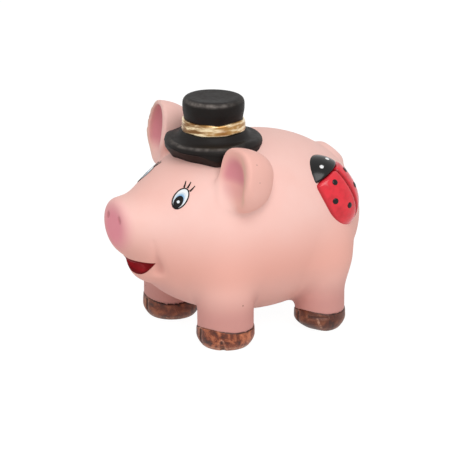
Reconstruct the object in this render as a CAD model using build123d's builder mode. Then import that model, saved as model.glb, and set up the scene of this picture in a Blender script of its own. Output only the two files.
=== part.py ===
from build123d import *

import os
from math import cos, radians, sin, sqrt

# A slip-cast, cold-painted earthenware pig with a top hat and a ladybird on its rump.
# It faces -Y, its left side is +X, and it stands on z = 0. All sizes are in millimetres.

# Body casting, an egg of revolution about a level axis through its widest ring
BODY_RADIUS = 36.1
BELLY_CLEARANCE = 6.7
FACE_LENGTH = 53.0
RUMP_LENGTH = 47.5
WALL = 4.0
FACE_WALL = 8.0
VENT_DIAMETER = 8.0

# Snout, with its flat disc ahead of the face, and the muzzle that carries it
SNOUT_LENGTH = 8.0
SNOUT_RISE = 0.2022 * BODY_RADIUS
SNOUT_RADIUS = 0.277 * BODY_RADIUS
SNOUT_RIM = 2.6
MUZZLE_SETBACK = 7.0
MUZZLE_RISE = 0.1385 * BODY_RADIUS
MUZZLE_RADIUS = 0.36 * BODY_RADIUS
MUZZLE_ROOT_SETBACK = 21.0
MUZZLE_ROOT_RISE = 0.061 * BODY_RADIUS
MUZZLE_ROOT_RADIUS = 0.5263 * BODY_RADIUS
MUZZLE_BLEND = 0.1108 * BODY_RADIUS
NOSTRIL_SPREAD = 4.5
NOSTRIL_RISE = 2.7
NOSTRIL_LENGTH = 4.8
NOSTRIL_RADIUS = 1.3
NOSTRIL_DEPTH = 0.9
NOSTRIL_LEAN = 25.0

# Open mouth, between the muzzle and the jaw
JAW_SETBACK = 18.0
JAW_DROP = 0.2992 * BODY_RADIUS
JAW_WIDTH = 0.715 * BODY_RADIUS
JAW_RADIUS = 0.2576 * BODY_RADIUS
MOUTH_WIDTH = 0.648 * BODY_RADIUS
MOUTH_DROP = 0.23 * BODY_RADIUS
MOUTH_HEIGHT = 0.1773 * BODY_RADIUS
MOUTH_SAG = 0.6
MOUTH_SETBACK = 14.0
MOUTH_RECESS = 0.8
JAW_BLEND = 1.5

# Legs and hooves
LEG_SPREAD = 1.2022 * BODY_RADIUS
FRONT_LEG_STATION = -0.4283 * FACE_LENGTH
REAR_LEG_STATION = 0.4379 * RUMP_LENGTH
FRONT_LEG_RADIUS = 11.2
REAR_LEG_RADIUS = 9.9
SHOULDER_RADIUS = 12.0
HAUNCH_RADIUS = 12.8
THIGH_DROP = 0.3546 * BODY_RADIUS
LEG_BLEND = 4.0
HOOF_HEIGHT = 8.7
HOOF_LIP = 0.2
HOOF_BULGE = 0.4
HOOF_BULGE_HEIGHT = 5.0
SOLE_INSET = 2.4
CLEFT_WIDTH = 1.4
CLEFT_DEPTH = 1.3

# Ears, cups that open forwards, the right one set a little higher
EAR_STATION = -0.4623 * FACE_LENGTH
EAR_TURNS = {"left": 48.2, "right": 45.0}
EAR_STANDOFFS = {"left": 9.6, "right": 11.8}
EAR_HALF_WIDTH = 10.3
EAR_HALF_HEIGHT = 13.5
EAR_DEPTH = 17.0
EAR_LEAN = 10.0
EAR_OUTWARD_TURN = 10.0
EAR_RIM = 1.8
EAR_CHIN = 6.6
EAR_CUP_DEPTH = 8.0
EAR_ROUND = 0.5

# Top hat
HAT_STATION = -0.2962 * FACE_LENGTH
HAT_RISE = 5.7
CROWN_HEIGHT = 13.0
CROWN_RADIUS = 12.4
CROWN_WAIST = 11.6
CROWN_ROUND = 2.0
BAND_HEIGHT = 4.6
BAND_THICKNESS = 1.1
BAND_ROUND = 0.8
BRIM_RADIUS = 19.8
BRIM_DROP = 4.4
BRIM_LIP_THICKNESS = 4.6
BRIM_LIP_ROUND = 0.45
BRIM_UNDERCUT = 7.8

# Ladybird on the left of the rump, its head forwards and up
LADYBIRD_STATION = 0.56 * RUMP_LENGTH
LADYBIRD_TURN = 59.0
LADYBIRD_LEAN = 15.5
LADYBIRD_WIDTH = 23.6
LADYBIRD_LENGTH = 32.0
LADYBIRD_HEIGHT = 5.3
LADYBIRD_SEAM = 0.5
LADYBIRD_NECK = 0.247 * LADYBIRD_LENGTH
SPOT_RADIUS = 1.25
SPOT_SHARES = ((0.203, 0.134), (0.339, -0.056), (0.165, -0.206))
LADYBIRD_EYE_RADIUS = 0.9
LADYBIRD_EYE_SPREAD = 0.271 * LADYBIRD_WIDTH
LADYBIRD_EYE_AHEAD = 0.372 * LADYBIRD_LENGTH

# Painted eyes
EYE_STATION = -0.7434 * FACE_LENGTH
EYE_TURN = 39.8
EYE_LEAN = -18.0
EYE_HALF_HEIGHT = 4.5
EYE_HALF_WIDTH = 2.9
EYE_LINE = 0.4
IRIS_HALF_HEIGHT = 3.3
IRIS_HALF_WIDTH = 2.2
IRIS_DROP = 0.7
PUPIL_HALF_HEIGHT = 2.3
PUPIL_HALF_WIDTH = 1.5
PUPIL_DROP = 1.5
GLINT_RADIUS = 0.6
LASH_LENGTH = 3.1
LASH_WIDTH = 0.5
LASH_GAP = 0.2
LASH_PLACES = (112.0, 87.0, 57.0)
LASH_FAN = 0.55

# Relief of every painted film
PAINT_RELIEF = 0.3

# Shares of a blend's radius to try in turn, since a tight edge takes only a smaller one
BLEND_SHARES = (1.0, 0.75, 0.5, 0.25)

# Tail, a curl in relief at the top of the rump
TAIL_STATION = 0.8084 * RUMP_LENGTH
TAIL_CURL_RADIUS = 4.4
TAIL_RADIUS = 2.2
TAIL_LIFT = 0.0
TAIL_SWEEP = 290.0
TAIL_TIP_LENGTH = 5.0
TAIL_TIP_RADIUS = 0.7

# The widest ring stands so that the snout and the rump reach equally far from the origin.
SNOUT_REACH = FACE_LENGTH + SNOUT_LENGTH
RING_Y = (SNOUT_REACH - RUMP_LENGTH) / 2
AXIS_Z = BELLY_CLEARANCE + BODY_RADIUS
FORWARDS = (0, -1, 0)
SIDES = {"left": 1, "right": -1}
LEG_ENDS = {
    "front": (RING_Y + FRONT_LEG_STATION, FRONT_LEG_RADIUS, SHOULDER_RADIUS),
    "rear": (RING_Y + REAR_LEG_STATION, REAR_LEG_RADIUS, HAUNCH_RADIUS),
}


def rolled(plane: Plane, angle: float) -> Plane:
    """The same plane with its x and y axes turned about its z axis."""
    turned = plane.x_dir * cos(radians(angle)) + plane.y_dir * sin(radians(angle))
    return Plane(plane.origin, x_dir=turned, z_dir=plane.z_dir)


def cross_section(station: float) -> Plane:
    """The upright plane at a station behind the widest ring, facing forwards."""
    return Plane.XZ.offset(-(RING_Y + station))


def skin_plane(station: float, turn: float, roll: float = 0.0) -> Plane:
    """The plane that touches the skin at a station, turned down from the top to the pig's left.

    Its z axis points out of the body and its y axis up the body, rolled about z.
    """
    length = FACE_LENGTH if station < 0 else RUMP_LENGTH
    radius = BODY_RADIUS * sqrt(1 - (station / length) ** 2)
    across = radius * sin(radians(turn))
    rise = radius * cos(radians(turn))
    outwards = Vector(across / BODY_RADIUS**2, station / length**2, rise / BODY_RADIUS**2)
    level = Vector(0, 0, 1).cross(outwards)
    return rolled(Plane((across, RING_Y + station, AXIS_Z + rise), x_dir=level, z_dir=outwards), roll)


def egg(radius: float, face_length: float, rump_length: float) -> Part:
    """Two half ellipsoids of revolution that meet at the body's widest ring."""
    middle = (RING_Y, AXIS_Z)
    with BuildPart() as made:
        with BuildSketch(Plane.YZ):
            with BuildLine():
                face = EllipticalCenterArc(middle, face_length, radius, 90, arc_size=90)
                rump = EllipticalCenterArc(middle, rump_length, radius, 0, arc_size=90)
                Line(face @ 1, rump @ 0)
            make_face()
        revolve(axis=Axis((0, *middle), (0, 1, 0)))
    return made.part


def grown_egg(grow: float) -> Part:
    """The body's egg with its skin moved outwards."""
    return egg(BODY_RADIUS + grow, FACE_LENGTH + grow, RUMP_LENGTH + grow)


def spheroid(plane: Plane, half_length: float, radius: float) -> Part:
    """A ball stretched along the plane's y axis."""
    with BuildPart() as made:
        with BuildSketch(plane):
            with BuildLine():
                side = EllipticalCenterArc((0, 0), radius, half_length, -90, arc_size=180)
                Line(side @ 1, side @ 0)
            make_face()
        revolve(axis=Axis(plane.origin, plane.y_dir))
    return made.part


def ellipsoid(plane: Plane, half_width: float, half_height: float, half_depth: float) -> Part:
    """A ball stretched along all three axes of the plane."""
    with BuildPart() as made:
        Sphere(1)
        scale(by=(half_width, half_height, half_depth))
    return made.part.moved(plane.location)


def mirrored(part: Part) -> Part:
    """The same piece on the pig's other side."""
    with BuildPart() as twin:
        mirror(part, about=Plane.YZ)
    return twin.part


def blend(edges: ShapeList[Edge], radius: float) -> None:
    """Fillets edges of the part at hand, with the largest share of the radius that they take."""
    for share in BLEND_SHARES:
        try:
            fillet(edges, radius * share)
            return
        except ValueError:
            continue


pieces = {}
skin = grown_egg(0)

# Jaw and open mouth
jaw_middle = (0, RING_Y - SNOUT_REACH + JAW_SETBACK, AXIS_Z - JAW_DROP)
jaw_plane = Plane(jaw_middle, x_dir=(0, 1, 0), z_dir=(0, 0, -1))
jaw = spheroid(jaw_plane, JAW_WIDTH / 2, JAW_RADIUS)
mouth_bed = spheroid(jaw_plane, JAW_WIDTH / 2 - MOUTH_RECESS, JAW_RADIUS - MOUTH_RECESS)

with BuildSketch(cross_section(-SNOUT_REACH + MOUTH_SETBACK)) as mouth_outline:
    with BuildLine():
        mouth_top = AXIS_Z - MOUTH_DROP
        left_corner = (MOUTH_WIDTH / 2, mouth_top)
        right_corner = (-MOUTH_WIDTH / 2, mouth_top)
        ThreePointArc(right_corner, (0, mouth_top - MOUTH_SAG), left_corner)
        ThreePointArc(left_corner, (0, mouth_top - MOUTH_HEIGHT), right_corner)
    make_face()

with BuildPart() as mouth:
    extrude(mouth_outline.sketch, amount=MOUTH_SETBACK, dir=FORWARDS)
    add(mouth_bed, mode=Mode.INTERSECT)
pieces["mouth"] = mouth.part

# Hollow body casting with its muzzle and legs
cavity = egg(BODY_RADIUS - WALL, FACE_LENGTH - FACE_WALL, RUMP_LENGTH - WALL)
nostril_front = RING_Y - SNOUT_REACH - NOSTRIL_RADIUS + NOSTRIL_DEPTH
nostril_middle = (NOSTRIL_SPREAD, nostril_front, AXIS_Z + SNOUT_RISE + NOSTRIL_RISE)
nostril_plane = rolled(Plane(nostril_middle, x_dir=(1, 0, 0), z_dir=FORWARDS), NOSTRIL_LEAN)
left_nostril = spheroid(nostril_plane, NOSTRIL_LENGTH / 2, NOSTRIL_RADIUS)
right_nostril = mirrored(left_nostril)

legs = []
for leg_y, leg_radius, thigh_radius in LEG_ENDS.values():
    for side in SIDES.values():
        leg_x = side * LEG_SPREAD / 2
        with BuildPart() as leg:
            with BuildSketch(Plane.XZ.offset(-leg_y)):
                with BuildLine():
                    ankle = (leg_x + leg_radius, HOOF_HEIGHT)
                    shin = TangentArc(ankle, (leg_x + thigh_radius, AXIS_Z - THIGH_DROP), tangent=(0, 1))
                    thigh = TangentArc(shin @ 1, (leg_x, AXIS_Z), tangent=shin % 1)
                    Polyline(thigh @ 1, (leg_x, HOOF_HEIGHT), ankle)
                make_face()
            revolve(axis=Axis((leg_x, leg_y, 0), (0, 0, 1)))
        legs.append(leg.part)

with BuildPart() as body_shell:
    with BuildSketch(cross_section(-SNOUT_REACH)):
        with Locations((0, AXIS_Z + SNOUT_RISE)):
            Circle(SNOUT_RADIUS)
    with BuildSketch(cross_section(-SNOUT_REACH + MUZZLE_SETBACK)):
        with Locations((0, AXIS_Z + MUZZLE_RISE)):
            Circle(MUZZLE_RADIUS)
    with BuildSketch(cross_section(-SNOUT_REACH + MUZZLE_ROOT_SETBACK)):
        with Locations((0, AXIS_Z + MUZZLE_ROOT_RISE)):
            Circle(MUZZLE_ROOT_RADIUS)
    loft()
    fillet(body_shell.faces().sort_by(Axis.Y)[0].edges(), SNOUT_RIM)
    add(left_nostril, mode=Mode.SUBTRACT)
    add(right_nostril, mode=Mode.SUBTRACT)
    add(skin)
    blend(body_shell.edges(Select.NEW), MUZZLE_BLEND)
    add(jaw)
    blend(body_shell.edges(Select.NEW), JAW_BLEND)
    for leg in legs:
        add(leg)
        blend(body_shell.edges(Select.NEW), LEG_BLEND)
    add(cavity, mode=Mode.SUBTRACT)
    extrude(mouth_outline.sketch, amount=MOUTH_SETBACK, dir=FORWARDS, mode=Mode.SUBTRACT)
    with BuildSketch(Plane.XY):
        with Locations((0, RING_Y)):
            Circle(VENT_DIAMETER / 2)
    extrude(amount=AXIS_Z, mode=Mode.SUBTRACT)
pieces["body_shell"] = body_shell.part

# Cloven hooves, each a shallow bowl on a flat sole
for end_name, (leg_y, leg_radius, _) in LEG_ENDS.items():
    for side_name, side in SIDES.items():
        leg_x = side * LEG_SPREAD / 2
        with BuildPart() as hoof:
            with BuildSketch(Plane.XZ.offset(-leg_y)):
                with BuildLine():
                    sole = Line((leg_x, 0), (leg_x + leg_radius - SOLE_INSET, 0))
                    wall = ThreePointArc(
                        sole @ 1,
                        (leg_x + leg_radius + HOOF_BULGE, HOOF_BULGE_HEIGHT),
                        (leg_x + leg_radius + HOOF_LIP, HOOF_HEIGHT),
                    )
                    Polyline(wall @ 1, (leg_x, HOOF_HEIGHT), sole @ 0)
                make_face()
            revolve(axis=Axis((leg_x, leg_y, 0), (0, 0, 1)))
            with BuildSketch(Plane.XY):
                with Locations((leg_x, leg_y - leg_radius - HOOF_BULGE)):
                    Rectangle(CLEFT_WIDTH, 2 * CLEFT_DEPTH)
            extrude(amount=HOOF_HEIGHT, mode=Mode.SUBTRACT)
        pieces[f"hoof_{end_name}_{side_name}"] = hoof.part

# Top hat
hat_seat = skin_plane(HAT_STATION, 0).origin
hat_axis = Axis(hat_seat, (0, 0, 1))
hat_plane = Plane(hat_seat + Vector(0, 0, HAT_RISE), x_dir=(1, 0, 0), z_dir=FORWARDS)

with BuildPart() as hat_brim:
    with BuildSketch(hat_plane):
        lip_low = -BRIM_DROP - BRIM_LIP_THICKNESS
        with BuildLine():
            Polyline(
                (0, 0),
                (CROWN_WAIST + BAND_THICKNESS, 0),
                (BRIM_RADIUS, -BRIM_DROP),
                (BRIM_RADIUS, lip_low),
                (BRIM_RADIUS - BRIM_UNDERCUT, lip_low - BRIM_UNDERCUT),
                (0, lip_low - BRIM_UNDERCUT),
                close=True,
            )
        make_face()
    revolve(axis=hat_axis)
    lip = hat_brim.edges().filter_by(GeomType.CIRCLE).group_by(SortBy.RADIUS)[-1]
    fillet(lip, BRIM_LIP_THICKNESS * BRIM_LIP_ROUND)
    add(skin, mode=Mode.SUBTRACT)
pieces["hat_brim"] = hat_brim.part

with BuildPart() as hat_crown:
    with BuildSketch(hat_plane):
        with BuildLine():
            Polyline(
                (0, 0),
                (CROWN_WAIST, 0),
                (CROWN_WAIST, BAND_HEIGHT),
                (CROWN_RADIUS, CROWN_HEIGHT),
                (0, CROWN_HEIGHT),
                close=True,
            )
        make_face()
    revolve(axis=hat_axis)
    fillet(hat_crown.faces().sort_by(Axis.Z)[-1].edges(), CROWN_ROUND)
pieces["hat_crown"] = hat_crown.part

with BuildPart() as hat_band:
    with BuildSketch(Plane(hat_plane.origin)):
        Circle(CROWN_WAIST + BAND_THICKNESS)
        Circle(CROWN_WAIST, mode=Mode.SUBTRACT)
    extrude(amount=BAND_HEIGHT)
    outer_edges = hat_band.edges().filter_by(GeomType.CIRCLE).group_by(SortBy.RADIUS)[-1]
    fillet(outer_edges, BAND_THICKNESS * BAND_ROUND)
pieces["hat_band"] = hat_band.part

# Cupped ears
for ear_side, side in SIDES.items():
    ear_root = skin_plane(EAR_STATION, side * EAR_TURNS[ear_side])
    spoke = Vector(ear_root.origin.X, 0, ear_root.origin.Z - AXIS_Z).normalized()
    outward_turn = radians(EAR_OUTWARD_TURN)
    ear_front = Plane(
        ear_root.origin + spoke * EAR_STANDOFFS[ear_side],
        x_dir=(cos(outward_turn), side * sin(outward_turn), 0),
        z_dir=(side * sin(outward_turn), -cos(outward_turn), sin(radians(EAR_LEAN))),
    )
    cup_half_height = EAR_HALF_HEIGHT - (EAR_RIM + EAR_CHIN) / 2
    cup_middle = ear_front.from_local_coords((0, (EAR_CHIN - EAR_RIM) / 2, 0))
    cup_plane = Plane(cup_middle, x_dir=ear_front.x_dir, z_dir=ear_front.z_dir)
    ear_lobe = ellipsoid(ear_front, EAR_HALF_WIDTH, EAR_HALF_HEIGHT, EAR_DEPTH)
    ear_cup = ellipsoid(cup_plane, EAR_HALF_WIDTH - EAR_RIM, cup_half_height, EAR_CUP_DEPTH)
    with BuildPart() as ear:
        add(ear_lobe)
        split(bisect_by=ear_front, keep=Keep.BOTTOM)
        add(ear_cup, mode=Mode.SUBTRACT)
        blend(ear.edges().filter_by(lambda edge: ear_front.contains(edge.center())), EAR_ROUND)
        add(skin, mode=Mode.SUBTRACT)
        add(hat_brim.part, mode=Mode.SUBTRACT)
    pieces[f"ear_{ear_side}"] = ear.part

# Ladybird in relief, one dome cut into a head and two wing cases
ladybird_plane = skin_plane(LADYBIRD_STATION, LADYBIRD_TURN, LADYBIRD_LEAN)
dome_plane = ladybird_plane.offset(LADYBIRD_HEIGHT - LADYBIRD_WIDTH / 2)
dome = spheroid(dome_plane, LADYBIRD_LENGTH / 2, LADYBIRD_WIDTH / 2)
painted_dome = spheroid(dome_plane, LADYBIRD_LENGTH / 2 + PAINT_RELIEF, LADYBIRD_WIDTH / 2 + PAINT_RELIEF)
seam_plane = Plane(ladybird_plane.origin, x_dir=ladybird_plane.y_dir, z_dir=ladybird_plane.x_dir)
neck_middle = ladybird_plane.from_local_coords((0, LADYBIRD_NECK))
neck_plane = Plane(neck_middle, x_dir=ladybird_plane.x_dir, z_dir=ladybird_plane.y_dir)

with BuildPart() as ladybird_head:
    add(dome)
    split(bisect_by=neck_plane.offset(LADYBIRD_SEAM / 2), keep=Keep.TOP)
    add(skin, mode=Mode.SUBTRACT)
pieces["ladybird_head"] = ladybird_head.part

with BuildPart() as ladybird_right_wing:
    add(dome)
    split(bisect_by=neck_plane.offset(-LADYBIRD_SEAM / 2), keep=Keep.BOTTOM)
    split(bisect_by=seam_plane.offset(LADYBIRD_SEAM / 2), keep=Keep.TOP)
    add(skin, mode=Mode.SUBTRACT)
pieces["ladybird_right_wing"] = ladybird_right_wing.part

with BuildPart() as ladybird_left_wing:
    add(dome)
    split(bisect_by=neck_plane.offset(-LADYBIRD_SEAM / 2), keep=Keep.BOTTOM)
    split(bisect_by=seam_plane.offset(-LADYBIRD_SEAM / 2), keep=Keep.BOTTOM)
    add(skin, mode=Mode.SUBTRACT)
pieces["ladybird_left_wing"] = ladybird_left_wing.part

with BuildPart() as ladybird_spots:
    with BuildSketch(dome_plane):
        for across, ahead in SPOT_SHARES:
            with Locations((0, ahead * LADYBIRD_LENGTH)):
                with GridLocations(2 * across * LADYBIRD_WIDTH, 0, 2, 1):
                    Circle(SPOT_RADIUS)
    extrude(amount=LADYBIRD_WIDTH)
    add(painted_dome, mode=Mode.INTERSECT)
    add(dome, mode=Mode.SUBTRACT)
pieces["ladybird_spots"] = ladybird_spots.part

with BuildPart() as ladybird_eyes:
    with BuildSketch(dome_plane):
        with Locations((0, LADYBIRD_EYE_AHEAD)):
            with GridLocations(LADYBIRD_EYE_SPREAD, 0, 2, 1):
                Circle(LADYBIRD_EYE_RADIUS)
    extrude(amount=LADYBIRD_WIDTH)
    add(painted_dome, mode=Mode.INTERSECT)
    add(dome, mode=Mode.SUBTRACT)
pieces["ladybird_eyes"] = ladybird_eyes.part

# Painted eyes
eye_plane = skin_plane(EYE_STATION, EYE_TURN, EYE_LEAN)
painted_skin = grown_egg(PAINT_RELIEF)


def paint_film(outline: Sketch) -> Part:
    """What an outline on the eye's plane covers of the skin, as a thin film of paint."""
    with BuildPart() as film:
        extrude(outline, amount=BODY_RADIUS / 2, dir=eye_plane.z_dir, both=True)
        add(painted_skin, mode=Mode.INTERSECT)
        add(skin, mode=Mode.SUBTRACT)
        add(body_shell.part, mode=Mode.SUBTRACT)
    return film.part


with BuildSketch(eye_plane) as eye_line:
    Ellipse(EYE_HALF_WIDTH + EYE_LINE, EYE_HALF_HEIGHT + EYE_LINE)
    Ellipse(EYE_HALF_WIDTH, EYE_HALF_HEIGHT, mode=Mode.SUBTRACT)

with BuildSketch(eye_plane) as eye_white:
    Ellipse(EYE_HALF_WIDTH, EYE_HALF_HEIGHT)
    with Locations((0, -IRIS_DROP)):
        Ellipse(IRIS_HALF_WIDTH, IRIS_HALF_HEIGHT, mode=Mode.SUBTRACT)

with BuildSketch(eye_plane) as eye_iris:
    with Locations((0, -IRIS_DROP)):
        Ellipse(IRIS_HALF_WIDTH, IRIS_HALF_HEIGHT)
    with Locations((0, -PUPIL_DROP)):
        Ellipse(PUPIL_HALF_WIDTH, PUPIL_HALF_HEIGHT, mode=Mode.SUBTRACT)

with BuildSketch(eye_plane) as eye_pupil:
    with Locations((0, -PUPIL_DROP)):
        Ellipse(PUPIL_HALF_WIDTH, PUPIL_HALF_HEIGHT)
        Circle(GLINT_RADIUS, mode=Mode.SUBTRACT)

with BuildSketch(eye_plane) as eye_glint:
    with Locations((0, -PUPIL_DROP)):
        Circle(GLINT_RADIUS)

with BuildSketch(eye_plane) as eye_lashes:
    for place in LASH_PLACES:
        root_x = (EYE_HALF_WIDTH + EYE_LINE + LASH_GAP) * cos(radians(place))
        root_y = (EYE_HALF_HEIGHT + EYE_LINE + LASH_GAP) * sin(radians(place))
        with Locations(Location((root_x, root_y), 90 + LASH_FAN * (place - 90))):
            Polygon((0, -LASH_WIDTH / 2), (LASH_LENGTH, 0), (0, LASH_WIDTH / 2), align=None)

eye_paints = {
    "eye_line": eye_line,
    "eye_white": eye_white,
    "iris": eye_iris,
    "pupil": eye_pupil,
    "glint": eye_glint,
    "lashes": eye_lashes,
}
for paint_name, outline in eye_paints.items():
    left_film = paint_film(outline.sketch)
    pieces[f"{paint_name}_left"] = left_film
    pieces[f"{paint_name}_right"] = mirrored(left_film)

# Curled tail
tail_plane = skin_plane(TAIL_STATION, 0)
tail_section = Plane(tail_plane.origin, x_dir=tail_plane.x_dir, z_dir=-tail_plane.y_dir)
tip_start = tail_plane.from_local_coords((TAIL_CURL_RADIUS, 0, TAIL_LIFT))

with BuildPart() as tail:
    with BuildSketch(tail_section):
        with Locations((TAIL_CURL_RADIUS, TAIL_LIFT)):
            Circle(TAIL_RADIUS)
    revolve(axis=Axis(tail_plane.origin, tail_plane.z_dir), revolution_arc=TAIL_SWEEP)
    with Locations(Plane(tip_start, z_dir=-tail_plane.y_dir)):
        Cone(TAIL_RADIUS, TAIL_TIP_RADIUS, TAIL_TIP_LENGTH, align=(Align.CENTER, Align.CENTER, Align.MIN))
    add(skin, mode=Mode.SUBTRACT)
pieces["tail"] = tail.part

os.makedirs("parts", exist_ok=True)
for name, piece in pieces.items():
    piece.label = name
    export_step(piece, f"parts/{name}.step")
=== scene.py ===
"""Dresses the cold-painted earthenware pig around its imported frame, in metres."""
import logging
import math
from collections.abc import Callable, Sequence
from dataclasses import dataclass, field
from enum import Enum
from functools import cached_property

import bpy
import numpy as np
from mathutils import Matrix, Vector


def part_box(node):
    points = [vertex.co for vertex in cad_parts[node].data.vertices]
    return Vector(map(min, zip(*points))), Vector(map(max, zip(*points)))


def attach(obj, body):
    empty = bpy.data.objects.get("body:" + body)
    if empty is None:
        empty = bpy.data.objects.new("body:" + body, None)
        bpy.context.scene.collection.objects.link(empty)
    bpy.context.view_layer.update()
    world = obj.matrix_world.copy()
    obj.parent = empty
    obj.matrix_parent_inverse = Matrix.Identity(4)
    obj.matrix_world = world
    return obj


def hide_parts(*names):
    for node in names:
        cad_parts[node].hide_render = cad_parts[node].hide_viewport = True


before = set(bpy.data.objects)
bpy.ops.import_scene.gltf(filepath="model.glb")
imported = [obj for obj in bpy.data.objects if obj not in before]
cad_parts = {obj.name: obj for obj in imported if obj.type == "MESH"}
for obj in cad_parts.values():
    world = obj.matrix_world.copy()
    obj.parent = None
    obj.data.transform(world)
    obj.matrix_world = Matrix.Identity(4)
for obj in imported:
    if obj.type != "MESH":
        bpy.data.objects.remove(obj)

log = logging.getLogger("pig_figurine")

Array = np.ndarray
Field = Callable[[Array], Array]
Colour = tuple[float, float, float, float]
Triple = tuple[float, float, float]
Ramp = tuple[float, float]
Waves = dict[int, tuple[float, float]]

MM = 0.001
FAR = 1000.0
TINY = 1e-9
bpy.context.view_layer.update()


class Side(Enum):
    """The pig's own left, which is +X, and its right."""

    LEFT = 1
    RIGHT = -1

    @property
    def word(self) -> str:
        """The side's name as the nodes spell it."""
        return self.name.lower()


class End(Enum):
    """The front and the rear pair of legs."""

    FRONT = "front"
    REAR = "rear"


FEET = [(end, side) for end in End for side in Side]


def linear(colour: str) -> Colour:
    """Turns an sRGB hex colour to linear red, green, blue and a full alpha.

    Args:
        colour: The colour as #RRGGBB.

    Returns:
        The linear colour.
    """
    channels = [int(colour[at : at + 2], 16) / 255 for at in (1, 3, 5)]
    red, green, blue = [c / 12.92 if c <= 0.04045 else ((c + 0.055) / 1.055) ** 2.4 for c in channels]
    return red, green, blue, 1.0


def add_node(
    tree: bpy.types.NodeTree, kind: str, inputs: dict | None = None, **settings
) -> bpy.types.Node:
    """Adds a node with its settings, values and links.

    Args:
        tree: The node tree that gets the node.
        kind: The node's Blender type.
        inputs: A value or a linked socket for each input, by name or number.
        **settings: The node's own properties.

    Returns:
        The new node.
    """
    node = tree.nodes.new(kind)
    for name, value in settings.items():
        setattr(node, name, value)
    for name, value in (inputs or {}).items():
        if isinstance(value, bpy.types.NodeSocket):
            tree.links.new(value, node.inputs[name])
        else:
            node.inputs[name].default_value = value
    return node


def new_material(name: str) -> tuple[bpy.types.Material, bpy.types.NodeTree]:
    """Makes an empty node material.

    Args:
        name: The real material's name.

    Returns:
        The material and its cleared node tree.
    """
    material = bpy.data.materials.new(name)
    material.use_nodes = True
    material.node_tree.nodes.clear()
    return material, material.node_tree


def per_mm(size: float) -> float:
    """The noise scale whose features are about this many millimetres across."""
    return 1 / (size * MM)


def smooth_union(a: Array, b: Array, reach: float | Array) -> Array:
    """Joins two distance fields with a soft fillet.

    Args:
        a: The first field's distances.
        b: The second field's distances.
        reach: How far from the joint the fillet starts.

    Returns:
        The joined distances.
    """
    share = np.maximum(reach - np.abs(a - b), 0) / reach
    return np.minimum(a, b) - share * share * reach / 4


def smooth_cut(a: Array, b: Array, reach: float) -> Array:
    """Cuts field b out of field a and rounds the cut's edge."""
    return -smooth_union(-a, b, reach)


def smooth_common(a: Array, b: Array, reach: float | Array) -> Array:
    """Keeps what two fields share and rounds their edge."""
    return -smooth_union(-a, -b, reach)


def stretched_ball(points: Array, radii: Sequence[float] | Array) -> Array:
    """The distance to an ellipsoid at the origin.

    Args:
        points: Points about the ellipsoid's centre.
        radii: Its half axes, alike for all points or one row for each.

    Returns:
        The distances, negative inside.
    """
    radii = np.asarray(radii, float)
    outer = np.linalg.norm(points / radii, axis=1)
    inner = np.linalg.norm(points / radii**2, axis=1)
    return outer * (outer - 1) / np.maximum(inner, TINY)


def squared_ball(points: Array, radii: Sequence[float], power: float) -> Array:
    """The distance to an ellipsoid with fuller shoulders, at the origin.

    Args:
        points: Points about its centre.
        radii: Its half axes.
        power: How full its shoulders are; 2 is a plain ellipsoid.

    Returns:
        The distances, negative inside.
    """
    radii = np.asarray(radii, float)
    shares = np.maximum(np.abs(points) / radii, 1e-6)
    outer = (shares**power).sum(1) ** (1 / power)
    slope = np.linalg.norm(shares ** (power - 1) / radii, axis=1) / outer ** (power - 1)
    return (outer - 1) / slope


def bead_chain(points: Array, path: Array, radii: Array, margin: float = 8.0) -> Array:
    """The distance to a string of beads that touch, such as a tail or a groove.

    Args:
        points: Points in millimetres.
        path: The beads' centres.
        radii: The beads' radii.
        margin: How far round the chain the distances are worked out.

    Returns:
        The distances, and a far value well away from the chain.
    """
    middle = path.mean(0)
    reach = np.linalg.norm(path - middle, axis=1).max() + radii.max() + margin
    close = np.linalg.norm(points - middle, axis=1) < reach
    found = np.full(len(points), FAR)
    if close.any():
        gaps = np.linalg.norm(points[close][:, None, :] - path[None, :, :], axis=2) - radii
        found[close] = gaps.min(1)
    return found


def slope_of(shape: Field, points: Array, step: float = 0.01) -> Array:
    """A field's gradient, by small steps along each axis.

    Args:
        shape: The distance field.
        points: Where the gradient is wanted, in millimetres.
        step: The length of the steps.

    Returns:
        One gradient for each point.
    """
    here = shape(points)
    moved = [shape(points + step * axis) - here for axis in np.eye(3)]
    return np.stack(moved, 1) / step


def settle_on(shape: Field, points: Array, rounds: int = 10, longest: float = 1.2) -> Array:
    """Moves points along a field's slope until they lie on its skin.

    Args:
        shape: The distance field.
        points: Points near its skin, in millimetres.
        rounds: How many steps they take.
        longest: The longest single step, in millimetres.

    Returns:
        The settled points.
    """
    flattest = 0.2
    for _ in range(rounds):
        slope = slope_of(shape, points)
        step = shape(points) / np.maximum((slope**2).sum(1), flattest)
        move = slope * step[:, None]
        length = np.linalg.norm(move, axis=1, keepdims=True)
        points = points - move * np.minimum(1, longest / np.maximum(length, TINY))
    return points


def fade(values: Array, start: float, end: float) -> Array:
    """A soft step from 0 at start to 1 at end, which may be the smaller of the two."""
    share = np.clip((values - start) / (end - start), 0, 1)
    return share * share * (3 - 2 * share)


def waves(angles: Array, amounts: Waves) -> Array:
    """A gentle unevenness round a hand-made ring.

    Args:
        angles: Where on the ring, in radians.
        amounts: For each number of waves its height and its phase.

    Returns:
        The unevenness at each angle.
    """
    return sum(height * np.cos(count * angles - phase) for count, (height, phase) in amounts.items())


def activate(piece: bpy.types.Object) -> None:
    """Selects one piece alone and makes it the active one.

    Args:
        piece: The piece.
    """
    bpy.ops.object.select_all(action="DESELECT")
    piece.select_set(True)
    bpy.context.view_layer.objects.active = piece


def rename(piece: bpy.types.Object, name: str) -> None:
    """Names a piece and its mesh alike."""
    piece.name = name
    piece.data.name = name


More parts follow.
